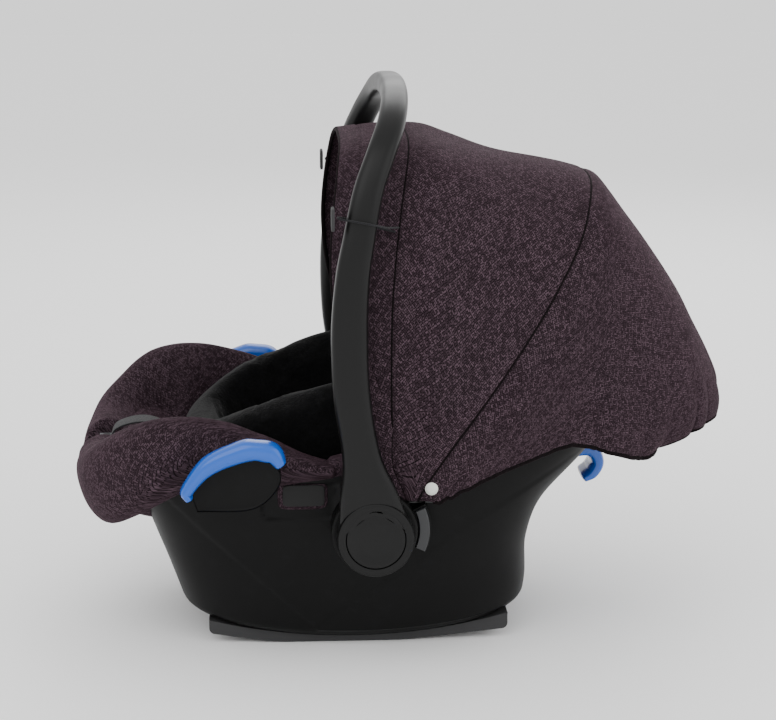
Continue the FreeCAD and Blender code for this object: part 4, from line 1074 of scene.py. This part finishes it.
class CARRIER_OT_canopy(bpy.types.Operator):
    """Canopy of three cloth panels. Each is the family of rounded-rectangle arches between two
    side-view lines, evenly spaced along each arch, moved along its normals by slow waves, dips at
    the seams, folded hems and, on the rear panel, the folds of the elastic hem"""

    bl_idname = "carrier.canopy"
    bl_label = "Canopy"

    def execute(self, context):
        settings = context.scene.carrier_seat
        slack = settings.slack / MM
        gather = settings.gather / MM
        depth = settings.cloth_thickness / MM

        front = canopy_grid(HEM_LINE, FRONT_SEAM, 64, 301)
        hem, seam, low = edge_distance(front)
        front = pushed(
            front,
            soft_folds(front, slack, 90) * smooth_step(0, 30, np.minimum(hem, seam))
            + hem_lift(hem, 21)
            + seam_dip(seam)
            + hem_lift(low, 9, 0.5),
        )
        main = canopy_grid(FRONT_SEAM, REAR_SEAM, 110, 361)
        start, end, low = edge_distance(main)
        across = np.clip(start / (start + end + 1e-6), 0, 1)
        sag = PANEL_SAG * np.sin(np.pi * across) * smooth_step(0, 90, low)
        main = pushed(
            main,
            soft_folds(main, 1.3 * slack, 105) * smooth_step(0, 30, np.minimum(start, end))
            + seam_dip(start)
            + seam_dip(end)
            - sag
            + hem_lift(low, 9, 0.5),
        )
        rear = canopy_grid(REAR_SEAM, len(ARCHES) - 1.0, 145, 319)
        start = edge_distance(rear)[0]
        rear = pushed(
            rear,
            soft_folds(rear, 1.5 * slack, 80) * smooth_step(0, 30, start)
            + seam_dip(start)
            + gathered(rear, gather, settings.gather_folds),
        )
        rear = tucked(rear)
        panels = []
        for part, grid in (("front", front), ("main", main), ("rear", rear)):
            if facing(grid)[len(grid) // 2, grid.shape[1] // 2, 2] < 0:
                grid = grid[:, ::-1]
            panel = surface(
                f"canopy_{part}_cloth",
                grid,
                closed=False,
                material="jacquard_polyester",
                smooth_angle=180,
            )
            panels.append(thicken(panel, depth))
            settle(panel, None, "woven_fabric", f"canopy_{part}_panel")
        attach(panels[0], "canopy_front")
        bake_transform(panels[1])
        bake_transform(panels[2])
        self.trim(front, main, rear)
        self.bows()
        return {"FINISHED"}

    def trim(self, front, main, rear):
        """Rolled hems and piped seams: round cords along the panels' edges."""

        def welt(name, line, radius):
            tube = tube_round(even(line, 420), radius)
            # The cords take the cloth darkened with painted shade, for the shade along the seams and
            # hems.
            piece = surface(name, tube, material="jacquard_welt", solid=True)
            return piece

        hem = welt("front_hem_roll", front[0], 2.3)
        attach(hem, "canopy_front")
        raised = pushed(main, np.full(main.shape[:2], 1.5))
        seam = welt("front_seam_welt", raised[0], 1.5)
        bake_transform(seam)
        seam = welt("rear_seam_welt", raised[-1], 1.7)
        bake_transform(seam)
        edge = np.concatenate([rear[:, 0], rear[-1, 1:-1], rear[::-1, -1]])
        edge = edge[edge[:, 0] > 30]
        hem = welt("rear_hem_roll", edge, 3.0)
        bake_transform(hem)
        for side, column in (("left", main[:, 0]), ("right", main[:, -1])):
            hem = welt("main_lower_hem_" + side, column, 1.6)
            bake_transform(hem)

    def bows(self):
        """Flat spring bows inside the canopy: strips along the arches' own family, set inwards."""
        angle = np.linspace(0, np.pi / 2, 400)
        for name, line, body in (
            ("canopy_front_bow", FRONT_BOW, "canopy_front"),
            ("canopy_rear_bow", REAR_BOW, "canopy_rear"),
        ):
            place = edge_places(line, angle)
            half = arch_at(place, angle, BOW_INSET)
            half = half[: int(np.argmax(half[:, 2] < PIVOT[1] + BOW_STOP))]
            half = np.vstack([half, [PIVOT[0], half[-1, 1], PIVOT[1]]])
            line = even(np.concatenate([mirrored(half[:0:-1]), half]), 260)
            top = line[len(line) // 2]
            lean = np.array([top[0] - PIVOT[0], 0, top[2] - PIVOT[1]])
            square = np.cross(lean / np.linalg.norm(lean), [0, 1, 0])
            strip = rod(line, BOW_WIDTH / 2, BOW_DEPTH / 2, side=square, exponent=4)
            piece = surface(name + "_strip", strip, material="acetal_black", solid=True)
            settle(piece, body, "handle_plastic", name)


# --- rim pads ---


class CARRIER_OT_rim_pads(bpy.types.Operator):
    """Padded cloth round the lip: a closed section carried round the moulding's plan, with its
    height taken from side-view lines, rippled along its length and rounded off at the ends"""

    bl_idname = "carrier.rim_pads"
    bl_label = "Rim Pads"

    def execute(self, context):
        for part, grid, fill in (("foot", foot_pad_grid(), 0.7), ("head", head_pad_grid(), 0.5)):
            pad = surface(
                part + "_rim_cushion", capped(grid), material="jacquard_polyester", solid=True
            )
            settle(pad, "seat", "woven_fabric", part + "_rim_pad")
        return {"FINISHED"}


# --- lining, insert and pillows ---


CLOTH_GROWTH = 0.021
CLOTH_STEPS = 14
CLOTH_REACH = 6
PINNED_BELOW = 190
PINNED_BEYOND = 246


def inflated(piece, voxel, pressure, pinned):
    """Blow a closed piece up a little as cloth and keep the result, with the pinned points
    held. The mesh is rebuilt in even cells first so that it folds freely."""
    scene = bpy.context.scene

    def as_seen(thing):
        graph = bpy.context.evaluated_depsgraph_get()
        return bpy.data.meshes.new_from_object(thing.evaluated_get(graph))

    bpy.context.view_layer.objects.active = piece
    cells = piece.modifiers.new("Even cells", "REMESH")
    cells.mode = "VOXEL"
    cells.voxel_size = voxel * MM
    cells.use_smooth_shade = True
    held = bpy.data.objects.new(piece.name + "_made", as_seen(piece))
    piece.modifiers.clear()
    scene.collection.objects.link(held)
    start = np.empty(len(held.data.vertices) * 3)
    held.data.vertices.foreach_get("co", start)
    group = held.vertex_groups.new(name="held")
    places = start.reshape(-1, 3) / MM
    group.add(np.flatnonzero(pinned(places)).tolist(), 1.0, "REPLACE")
    cloth = held.modifiers.new("Stuffing", "CLOTH")
    cloth.settings.use_pressure = True
    cloth.settings.uniform_pressure_force = pressure
    cloth.settings.vertex_group_mass = "held"
    cloth.settings.shrink_min = -CLOTH_GROWTH
    cloth.settings.effector_weights.gravity = 0
    cloth.settings.quality = 5
    cloth.collision_settings.use_collision = False
    for step in range(1, CLOTH_STEPS + 1):
        scene.frame_set(step)
    blown = as_seen(held)
    scene.frame_set(1)
    final = np.empty(len(blown.vertices) * 3)
    blown.vertices.foreach_get("co", final)
    move = (final - start).reshape(-1, 3)
    far = np.linalg.norm(move, axis=1, keepdims=True)
    move = move * np.minimum(1, CLOTH_REACH * MM / np.maximum(far, 1e-9))
    blown.vertices.foreach_set("co", (start.reshape(-1, 3) + move).ravel())
    blown.polygons.foreach_set("use_smooth", np.ones(len(blown.polygons), bool))
    bpy.data.objects.remove(held)
    old = piece.data
    materials = list(old.materials)
    piece.data = blown
    piece.data.materials.clear()
    for material in materials:
        piece.data.materials.append(material)
    bpy.data.meshes.remove(old)
    blown.name = piece.name
    return piece


INSERT_TOP = [(-226, 205), (-160, 247), (-62, 283), (54, 291), (170, 297), (246, 300)]


def insert_plan(angle, inset):
    """Plan of the insert: a rounded rectangle that nearly fills the bucket."""
    middle, reach, half = 10, 236, 134
    x = middle + (reach - inset) * power(np.cos(angle), 2 / 3.6)
    return x, (half - inset) * power(np.sin(angle), 2 / 3.6)


def insert_grid():
    """The insert: a thick quilt in the bucket. From its middle out, the upper face climbs to a
    rounded crest and returns below along the bucket's wall."""
    angle = np.linspace(0, 2 * np.pi, 200, endpoint=False)
    rows = []

    def layer(share, inset, lift, steep, crest):
        x, y = insert_plan(angle, inset)
        across = BOWL_MIDDLE + (x - BOWL_MIDDLE) * share
        bottom = floor_height(across) + lift
        top = level_at(INSERT_TOP, x)[..., 0] - crest
        height = bottom + np.maximum(top - bottom, 0) * share**steep
        return np.stack([across, y * share, height], -1)

    for share in np.linspace(0.0, 1, 40):
        rows.append(layer(share, 34, 40, 7, 17))
    for q in np.linspace(0, np.pi, 16)[1:-1]:
        rows.append(layer(1.0, 17 + 17 * math.cos(q), 40, 7, 17 - 17 * math.sin(q)))
    for share in np.linspace(1, 0.0, 34):
        rows.append(layer(share, 0, 24, 8, 17))
    grid = np.array(rows)
    x, y = grid[..., 0], grid[..., 1]
    inner = np.zeros(len(rows))
    inner[:40] = 1
    quilt = 2.2 * np.abs(np.sin(x / 46)) * np.abs(np.sin(y / 46 + 0.4)) ** 0.5
    grid[..., 2] += quilt * inner[:, None]
    return grid


class CARRIER_OT_insert(bpy.types.Operator):
    """Seat lining, foam liner, plush insert and pillow. The lining and the foam are thin bowls
    inside the shell; the insert is a thick bowl that climbs to a rounded crest, blown up as
    cloth; the pillow is a tilted rounded block"""

    bl_idname = "carrier.insert"
    bl_label = "Insert and Pads"

    def execute(self, context):
        settings = context.scene.carrier_seat
        angle = ring_angles(240)
        share = np.linspace(0, 1, 46)
        rows = [bowl(s, angle, 19, 14) for s in share] + [bowl(s, angle, 11, 7) for s in share[::-1]]
        lining = surface("seat_lining", np.array(rows), material="jacquard_polyester", solid=True)
        settle(lining, "seat", "woven_fabric", "seat_cover")

        rows = [bowl(share, angle, 10.6, 6.6, -3) for share in np.linspace(0, 1, 40)]
        rows += [bowl(share, angle, 6, 3, -3) for share in np.linspace(1, 0, 40)]
        foam = surface("bead_foam_liner", np.array(rows), material="polystyrene_foam", solid=True)
        settle(foam, "seat", "foam", "foam_liner")

        insert = surface("plush_insert", insert_grid(), material="polyester_plush", solid=True)
        settle(insert, "seat", "plush", "infant_insert")
        inflated(
            insert,
            6,
            settings.pressure,
            lambda p: (p[:, 2] < PINNED_BELOW) | (np.abs(p[:, 0]) > PINNED_BEYOND),
        )
        low, high = (Vector(v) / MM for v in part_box("head_pillow"))
        tilt = np.array([[0.766, 0, 0.643], [0, 1, 0], [-0.643, 0, 0.766]])  # 40 degrees about Y
        middle = np.array((low + high) / 2)
        form = block((-16, -64, -44), (16, 64, 44), 2.8, 40) @ tilt.T + middle
        pad = surface("head_cushion", form, material="polyester_plush", solid=True)
        settle(pad, "seat", "plush", "head_pillow")
        return {"FINISHED"}


# --- shell ---

SOLE_ROUND = 10
ROOF_GAP = 13
HOLLOW_X, HOLLOW_Y = 12, 38
TAB_RECESS = ((-141, -67), (148, 186))
TAB_DEPTH = 4


def shell_grid():
    """The moulding as one closed grid of rings: up the bucket's inside from its middle, over the
    rounded lip, down the outside to the rocker's rounded edge, under it, up the hollow base and
    back to the middle under the floor."""
    angle = ring_angles(420)
    rows = [bowl(share, angle, WALL, 0) for share in np.linspace(0, 0.985, 44)]
    x, y, z = lip_ring(angle)
    for q in np.linspace(0, np.pi, 9):
        inset = WALL / 2 * (1 + math.cos(q))
        level = z - WALL / 2 * (1 - math.sin(q))
        px, py = shell_at(angle, level, inset, inset)
        rows.append(np.stack([px, py, level], -1))
    foot = rocker_height(shell_at(angle, np.full_like(angle, 30.0))[0])
    top = z - WALL / 2
    for share in np.linspace(0, 1, 96)[1:]:
        level = top + (foot + SOLE_ROUND - top) * share
        px, py = shell_at(angle, level)
        rows.append(np.stack([px, py, level], -1))
    for q in np.linspace(0, np.pi / 2, 8)[1:]:
        level = foot + SOLE_ROUND * (1 - math.sin(q))
        inset = SOLE_ROUND * (1 - math.cos(q))
        px, py = shell_at(angle, level, inset, inset)
        rows.append(np.stack([px, py, level], -1))
    for share in np.linspace(0, 1, 8)[1:]:
        inset_x = SOLE_ROUND + (HOLLOW_X - SOLE_ROUND) * share
        inset_y = SOLE_ROUND + (HOLLOW_Y - SOLE_ROUND) * share
        px, py = shell_at(angle, foot, inset_x, inset_y)
        rows.append(np.stack([px, py, rocker_height(px)], -1))
    px, py = shell_at(angle, foot, HOLLOW_X, HOLLOW_Y)
    roof = np.maximum(floor_height(px) - ROOF_GAP, rocker_height(px) + 6)
    for share in np.linspace(0, 1, 20)[1:]:
        rows.append(np.stack([px, py, rocker_height(px) + (roof - rocker_height(px)) * share], -1))
    for share in np.linspace(1, 0, 30)[1:]:
        across = BOWL_MIDDLE + (px - BOWL_MIDDLE) * share
        level = np.maximum(floor_height(across) - ROOF_GAP, rocker_height(across) + 6)
        rows.append(np.stack([across, py * share, level], -1))
    grid = np.array(rows)
    outside = slice(52, 52 + 96)
    x, y, z = (grid[outside][..., k] for k in range(3))
    side = smooth_step(70, 120, np.abs(y))
    rear = beside(x, z, CREASE_REAR)
    foot_crease = beside(x, z, CREASE_FOOT)
    step = 3.4 * smooth_step(-2.5, 2.5, rear) * smooth_step(-30, 30, 175 - x)
    step = step + 3.0 * smooth_step(-2.5, 2.5, foot_crease)
    (left, right), (low, high) = TAB_RECESS
    recess = smooth_step(left - 3, left + 3, x) * (1 - smooth_step(right - 3, right + 3, x))
    recess = recess * smooth_step(low - 3, low + 3, z) * (1 - smooth_step(high - 3, high + 3, z))
    grid[outside, :, 1] += np.sign(y) * side * (0.5 * step - TAB_DEPTH * recess)
    return grid


class CARRIER_OT_shell(bpy.types.Operator):
    """Moulded shell: rings of a rounded rectangle whose size changes with height, over a rounded
    lip, down to the rocker and up into the hollow base, with a step along each crease"""

    bl_idname = "carrier.shell"
    bl_label = "Shell"

    def execute(self, context):
        shell = surface(
            "bucket_shell",
            shell_grid(),
            material="polypropylene_shell",
            solid=True,
            smooth_angle=35,
        )
        settle(shell, "seat", "shell_plastic", "shell")
        return {"FINISHED"}


# --- handle ---

HUB = (-30, 141)
# Along the arm from the hub to the top: place, distance across, height, half width, half depth.
ARM = [
    (-30, 209.5, 141, 37, 12),
    (-37, 208.4, 184, 28.6, 12),
    (-43.8, 206.8, 224, 19, 12),
    (-52.6, 204.3, 283, 18.2, 12),
    (-54.6, 201, 345, 18, 12),
    (-51.4, 198.5, 398, 16.7, 11.8),
    (-45, 195.5, 436, 15.6, 11.6),
    (-36, 188, 480, 14.6, 11.5),
    (-24, 174, 512, 14, 11.5),
    (-13, 150, 537, 13.6, 11.5),
    (-7, 118, 552, 13.5, 11.5),
    (-3.5, 70, 559.5, 13.5, 11.5),
    (-2, 0, 562, 13.5, 11.5),
]
HUB_RING = [(38, 197), (38, 219), (37.1, 221.1), (35, 222), (31.2, 222), (30, 221.5), (29.6, 220.5)]
HUB_RING += [(29.6, 209), (5.1, 209), (5.1, 206), (24.5, 206), (24.5, 197)]
HUB_CLEAR = 33.5


class CARRIER_OT_handle(bpy.types.Operator):
    """Carrying handle: a rounded rectangle carried along the arms and over the top, wider at the
    hubs, each of them a turned ring"""

    bl_idname = "carrier.handle"
    bl_label = "Handle"

    def execute(self, context):
        right = np.array(ARM, float)
        left = right[::-1].copy()
        table = np.vstack([right * [1, -1, 1, 1, 1], left[1:]])
        line = table_at(table, np.linspace(0, len(table) - 1, 1600))
        length = np.append(0, np.cumsum(np.linalg.norm(np.diff(line[:, :3], axis=0), axis=1)))
        at = np.linspace(0, length[-1], 420)
        line = np.stack([np.interp(at, length, column) for column in line.T], 1)
        grid = rod(line[:, :3], line[:, 3], line[:, 4], side=(1, 0, 0), exponent=3.0, steps=56)
        x, z = grid[..., 0] - HUB[0], grid[..., 2] - HUB[1]
        away = np.hypot(x, z)
        near = (away < HUB_CLEAR) & (grid[..., 2] < 230)
        scale = np.where(near, HUB_CLEAR / np.maximum(away, 1.0), 1.0)
        grid[..., 0] = HUB[0] + x * scale
        over = np.sqrt(np.maximum(HUB_CLEAR**2 - (x * scale) ** 2, 0))
        grid[..., 2] = HUB[1] + np.where(near, np.maximum(z * scale, over), z)
        rings = [lathe(HUB_RING, HUB[0], HUB[1], sign) for sign in (-1, 1)]
        arch = surface("handle_arch", grid, material="polyamide_handle", solid=True)
        settle(arch, "handle", "handle_plastic", "carry_handle")
        for side, ring in zip(("left", "right"), rings):
            hub = surface(
                "handle_hub_" + side,
                ring,
                material="polyamide_handle",
                solid=True,
                smooth_angle=32,
            )
            settle(hub, "handle", "handle_plastic", "carry_handle")
        return {"FINISHED"}


# --- belt guides and rear hook ---

GUIDE_OUTER = [(-117, 221), (-124, 236), (-142, 241), (-160, 241), (-198, 225), (-221, 193)]
GUIDE_OUTER += [(-214, 186)]
GUIDE_INNER = [(-129, 216), (-136, 221), (-145, 222.5), (-157, 222), (-190, 208), (-209, 190)]
GUIDE_INNER += [(-212, 184)]
GUIDE_LOBE = [(-205, 170), (-150, 172), (-124, 196), (-129, 216), (-157, 222), (-190, 208)]
GUIDE_LOBE += [(-209, 190)]
HOOK = [
    (170, 167, 8),
    (190, 173, 9),
    (211, 173, 8),
    (219, 160, 7.5),
    (214, 148, 7),
    (205, 142, 5),
]


class CARRIER_OT_guides(bpy.types.Operator):
    """Belt guides and rear belt hook: rounded bars carried along their side-view curves, and a
    rounded plate under each guide"""

    bl_idname = "carrier.guides"
    bl_label = "Belt Guides"

    def execute(self, context):
        outer, inner = (smooth_line(line, 120) for line in (GUIDE_OUTER, GUIDE_INNER))
        middle, half = (outer + inner) / 2, np.linalg.norm(outer - inner, axis=1) / 2
        lobe = smooth_line(GUIDE_LOBE + GUIDE_LOBE[:1], 97)[:-1]
        for side, sign in (("left", -1), ("right", 1)):
            path = np.stack([middle[:, 0], np.full(120, 210.0 * sign), middle[:, 1]], 1)
            trim = surface(
                "guide_trim_" + side,
                rod(path, 12, np.maximum(half, 4.5), exponent=2.5, steps=64),
                material="abs_blue",
                solid=True,
            )
            settle(trim, "seat", "blue_plastic", "belt_guide_" + side)
            plate = surface(
                "guide_plate_" + side,
                slab_between(lobe, 196 * sign, 208 * sign, 3),
                material="polypropylene_shell",
                solid=True,
            )
            settle(plate, "seat", "shell_plastic", "belt_guide_housing_" + side)
        line = table_at(HOOK, np.linspace(0, len(HOOK) - 1, 70))
        path = np.stack([line[:, 0], 0 * line[:, 0], line[:, 1]], 1)
        bar = rod(path, 24, line[:, 2], exponent=3.2, steps=40)
        hook = surface("rear_hook", bar, material="abs_blue", solid=True)
        settle(hook, "seat", "blue_plastic", "rear_belt_hook")
        return {"FINISHED"}


# --- strap, tabs and patches ---

TAIL = [(-302.2, 184), (-295, 203), (-265, 210), (-237, 197), (-225, 169)]


def side_patch(x_range, z_range, sign, out, thick, corner=5.0):
    """A thin patch that lies on the moulding's side: a rounded rectangle in the side view, raised
    by a distance and closed round its edge."""
    turn = np.linspace(0, 2 * np.pi, 96, endpoint=False)
    middle = np.array([sum(x_range), sum(z_range)]) / 2
    reach = np.array([x_range[1] - x_range[0], z_range[1] - z_range[0]]) / 2
    edge = np.stack([power(np.cos(turn), 2 / corner), power(np.sin(turn), 2 / corner)], 1) * reach
    steps = [(s, thick) for s in np.linspace(0, 0.96, 12)]
    steps += [(0.985, thick * 0.8), (1, thick / 2), (0.985, 0.1)]
    steps += [(s, 0) for s in np.linspace(0.96, 0, 12)]
    rows = []
    for share, lift in steps:
        flat = middle + edge * share
        across = shell_side(flat[:, 0], flat[:, 1]) + out + lift
        rows.append(np.stack([flat[:, 0], sign * across, flat[:, 1]], 1))
    return np.array(rows)


class CARRIER_OT_details(bpy.types.Operator):
    """Adjuster strap, cover tabs and hook patches: a flat band carried along its route, and thin
    patches raised from the moulding's side"""

    bl_idname = "carrier.details"
    bl_label = "Strap and Tabs"

    def execute(self, context):
        line = smooth_line(TAIL, 90)
        path = np.stack([line[:, 0], 0 * line[:, 0], line[:, 1]], 1)
        band = rod(path, 15, 1.2, exponent=5, steps=32)
        strap = surface("adjuster_tail", band, material="polyester_webbing", solid=True)
        settle(strap, "seat", "webbing", "adjuster_strap")
        for side, sign in (("left", -1), ("right", 1)):
            tab = surface(
                "cover_flap_" + side,
                side_patch((-126, -76), (158, 188), sign, -3.4, 2.6),
                material="jacquard_polyester",
                solid=True,
            )
            settle(tab, "seat", "woven_fabric", "cover_tab_" + side)
            patch = surface(
                "hook_strip_" + side,
                side_patch((-121, -79), (162, 185), sign, -0.7, 1.5, 7),
                material="hook_tape",
                solid=True,
            )
            settle(patch, "seat", "hook_tape", "hook_patch_" + side)
        return {"FINISHED"}


# --- finishes of the carried-over nodes ---

FRAME_FINISHES = {
    "runner": "thermoplastic_rubber",
    "runner_screws": "zinc_steel",
    "handle_bolt": "zinc_steel",
    "hub_spring": "zinc_steel",
    "lock_disc": "acetal_black",
    "lock_housing": "polypropylene_shell",
    "adapter_release": "polypropylene_grey",
    "hub_button": "polyamide_handle",
    "canopy_bracket": "acetal_black",
    "canopy_snap": "nylon_white",
    "foam_liner": "polystyrene_foam",
    "shoulder_strap": "polyester_webbing",
    "shoulder_pad": "polyester_plush",
    "crotch_strap": "polyester_webbing",
    "buckle_housing": "acetal_black",
    "buckle_button": "abs_red",
    "buckle_tongue": "acetal_black",
    "adjuster_frame": "polypropylene_light",
    "adjuster_button": "acetal_black",
}


class CARRIER_OT_finishes(bpy.types.Operator):
    """Materials of the pieces that keep the frame's own shape"""

    bl_idname = "carrier.finishes"
    bl_label = "Finishes"

    def execute(self, context):
        for node in [o for o in bpy.data.objects if o.type == "MESH"]:
            name = node.name.removesuffix("_left").removesuffix("_right")
            if name not in FRAME_FINISHES or node.get("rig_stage"):
                continue
            node.data.materials.clear()
            node.data.materials.append(bpy.data.materials[FRAME_FINISHES[name]])
        return {"FINISHED"}


# --- panel and run ---

OPERATORS = (
    CARRIER_OT_stage,
    CARRIER_OT_loops,
    CARRIER_OT_canopy,
    CARRIER_OT_rim_pads,
    CARRIER_OT_insert,
    CARRIER_OT_shell,
    CARRIER_OT_handle,
    CARRIER_OT_guides,
    CARRIER_OT_details,
    CARRIER_OT_finishes,
)


class CARRIER_PT_panel(bpy.types.Panel):
    """Sizes, colours and building steps of the carrier seat"""

    bl_idname = "CARRIER_PT_panel"
    bl_label = "Carrier Seat"
    bl_space_type = "VIEW_3D"
    bl_region_type = "UI"
    bl_category = "Carrier Seat"

    def draw(self, context):
        settings = context.scene.carrier_seat
        for name in CarrierSeatSettings.__annotations__:
            self.layout.prop(settings, name)
        for operator in OPERATORS:
            self.layout.operator(operator.bl_idname)


CLASSES = (CarrierSeatSettings, *OPERATORS, CARRIER_PT_panel)


def register():
    """Register the settings, the operators and the panel."""
    for item in CLASSES:
        bpy.utils.register_class(item)
    bpy.types.Scene.carrier_seat = PointerProperty(type=CarrierSeatSettings)


def unregister():
    """Remove what register added."""
    del bpy.types.Scene.carrier_seat
    for item in reversed(CLASSES):
        bpy.utils.unregister_class(item)


def main():
    """Build every piece in order."""
    register()
    for operator in OPERATORS:
        group, name = operator.bl_idname.split(".")
        getattr(getattr(bpy.ops, group), name)()
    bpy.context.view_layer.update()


if __name__ == "__main__":
    main()
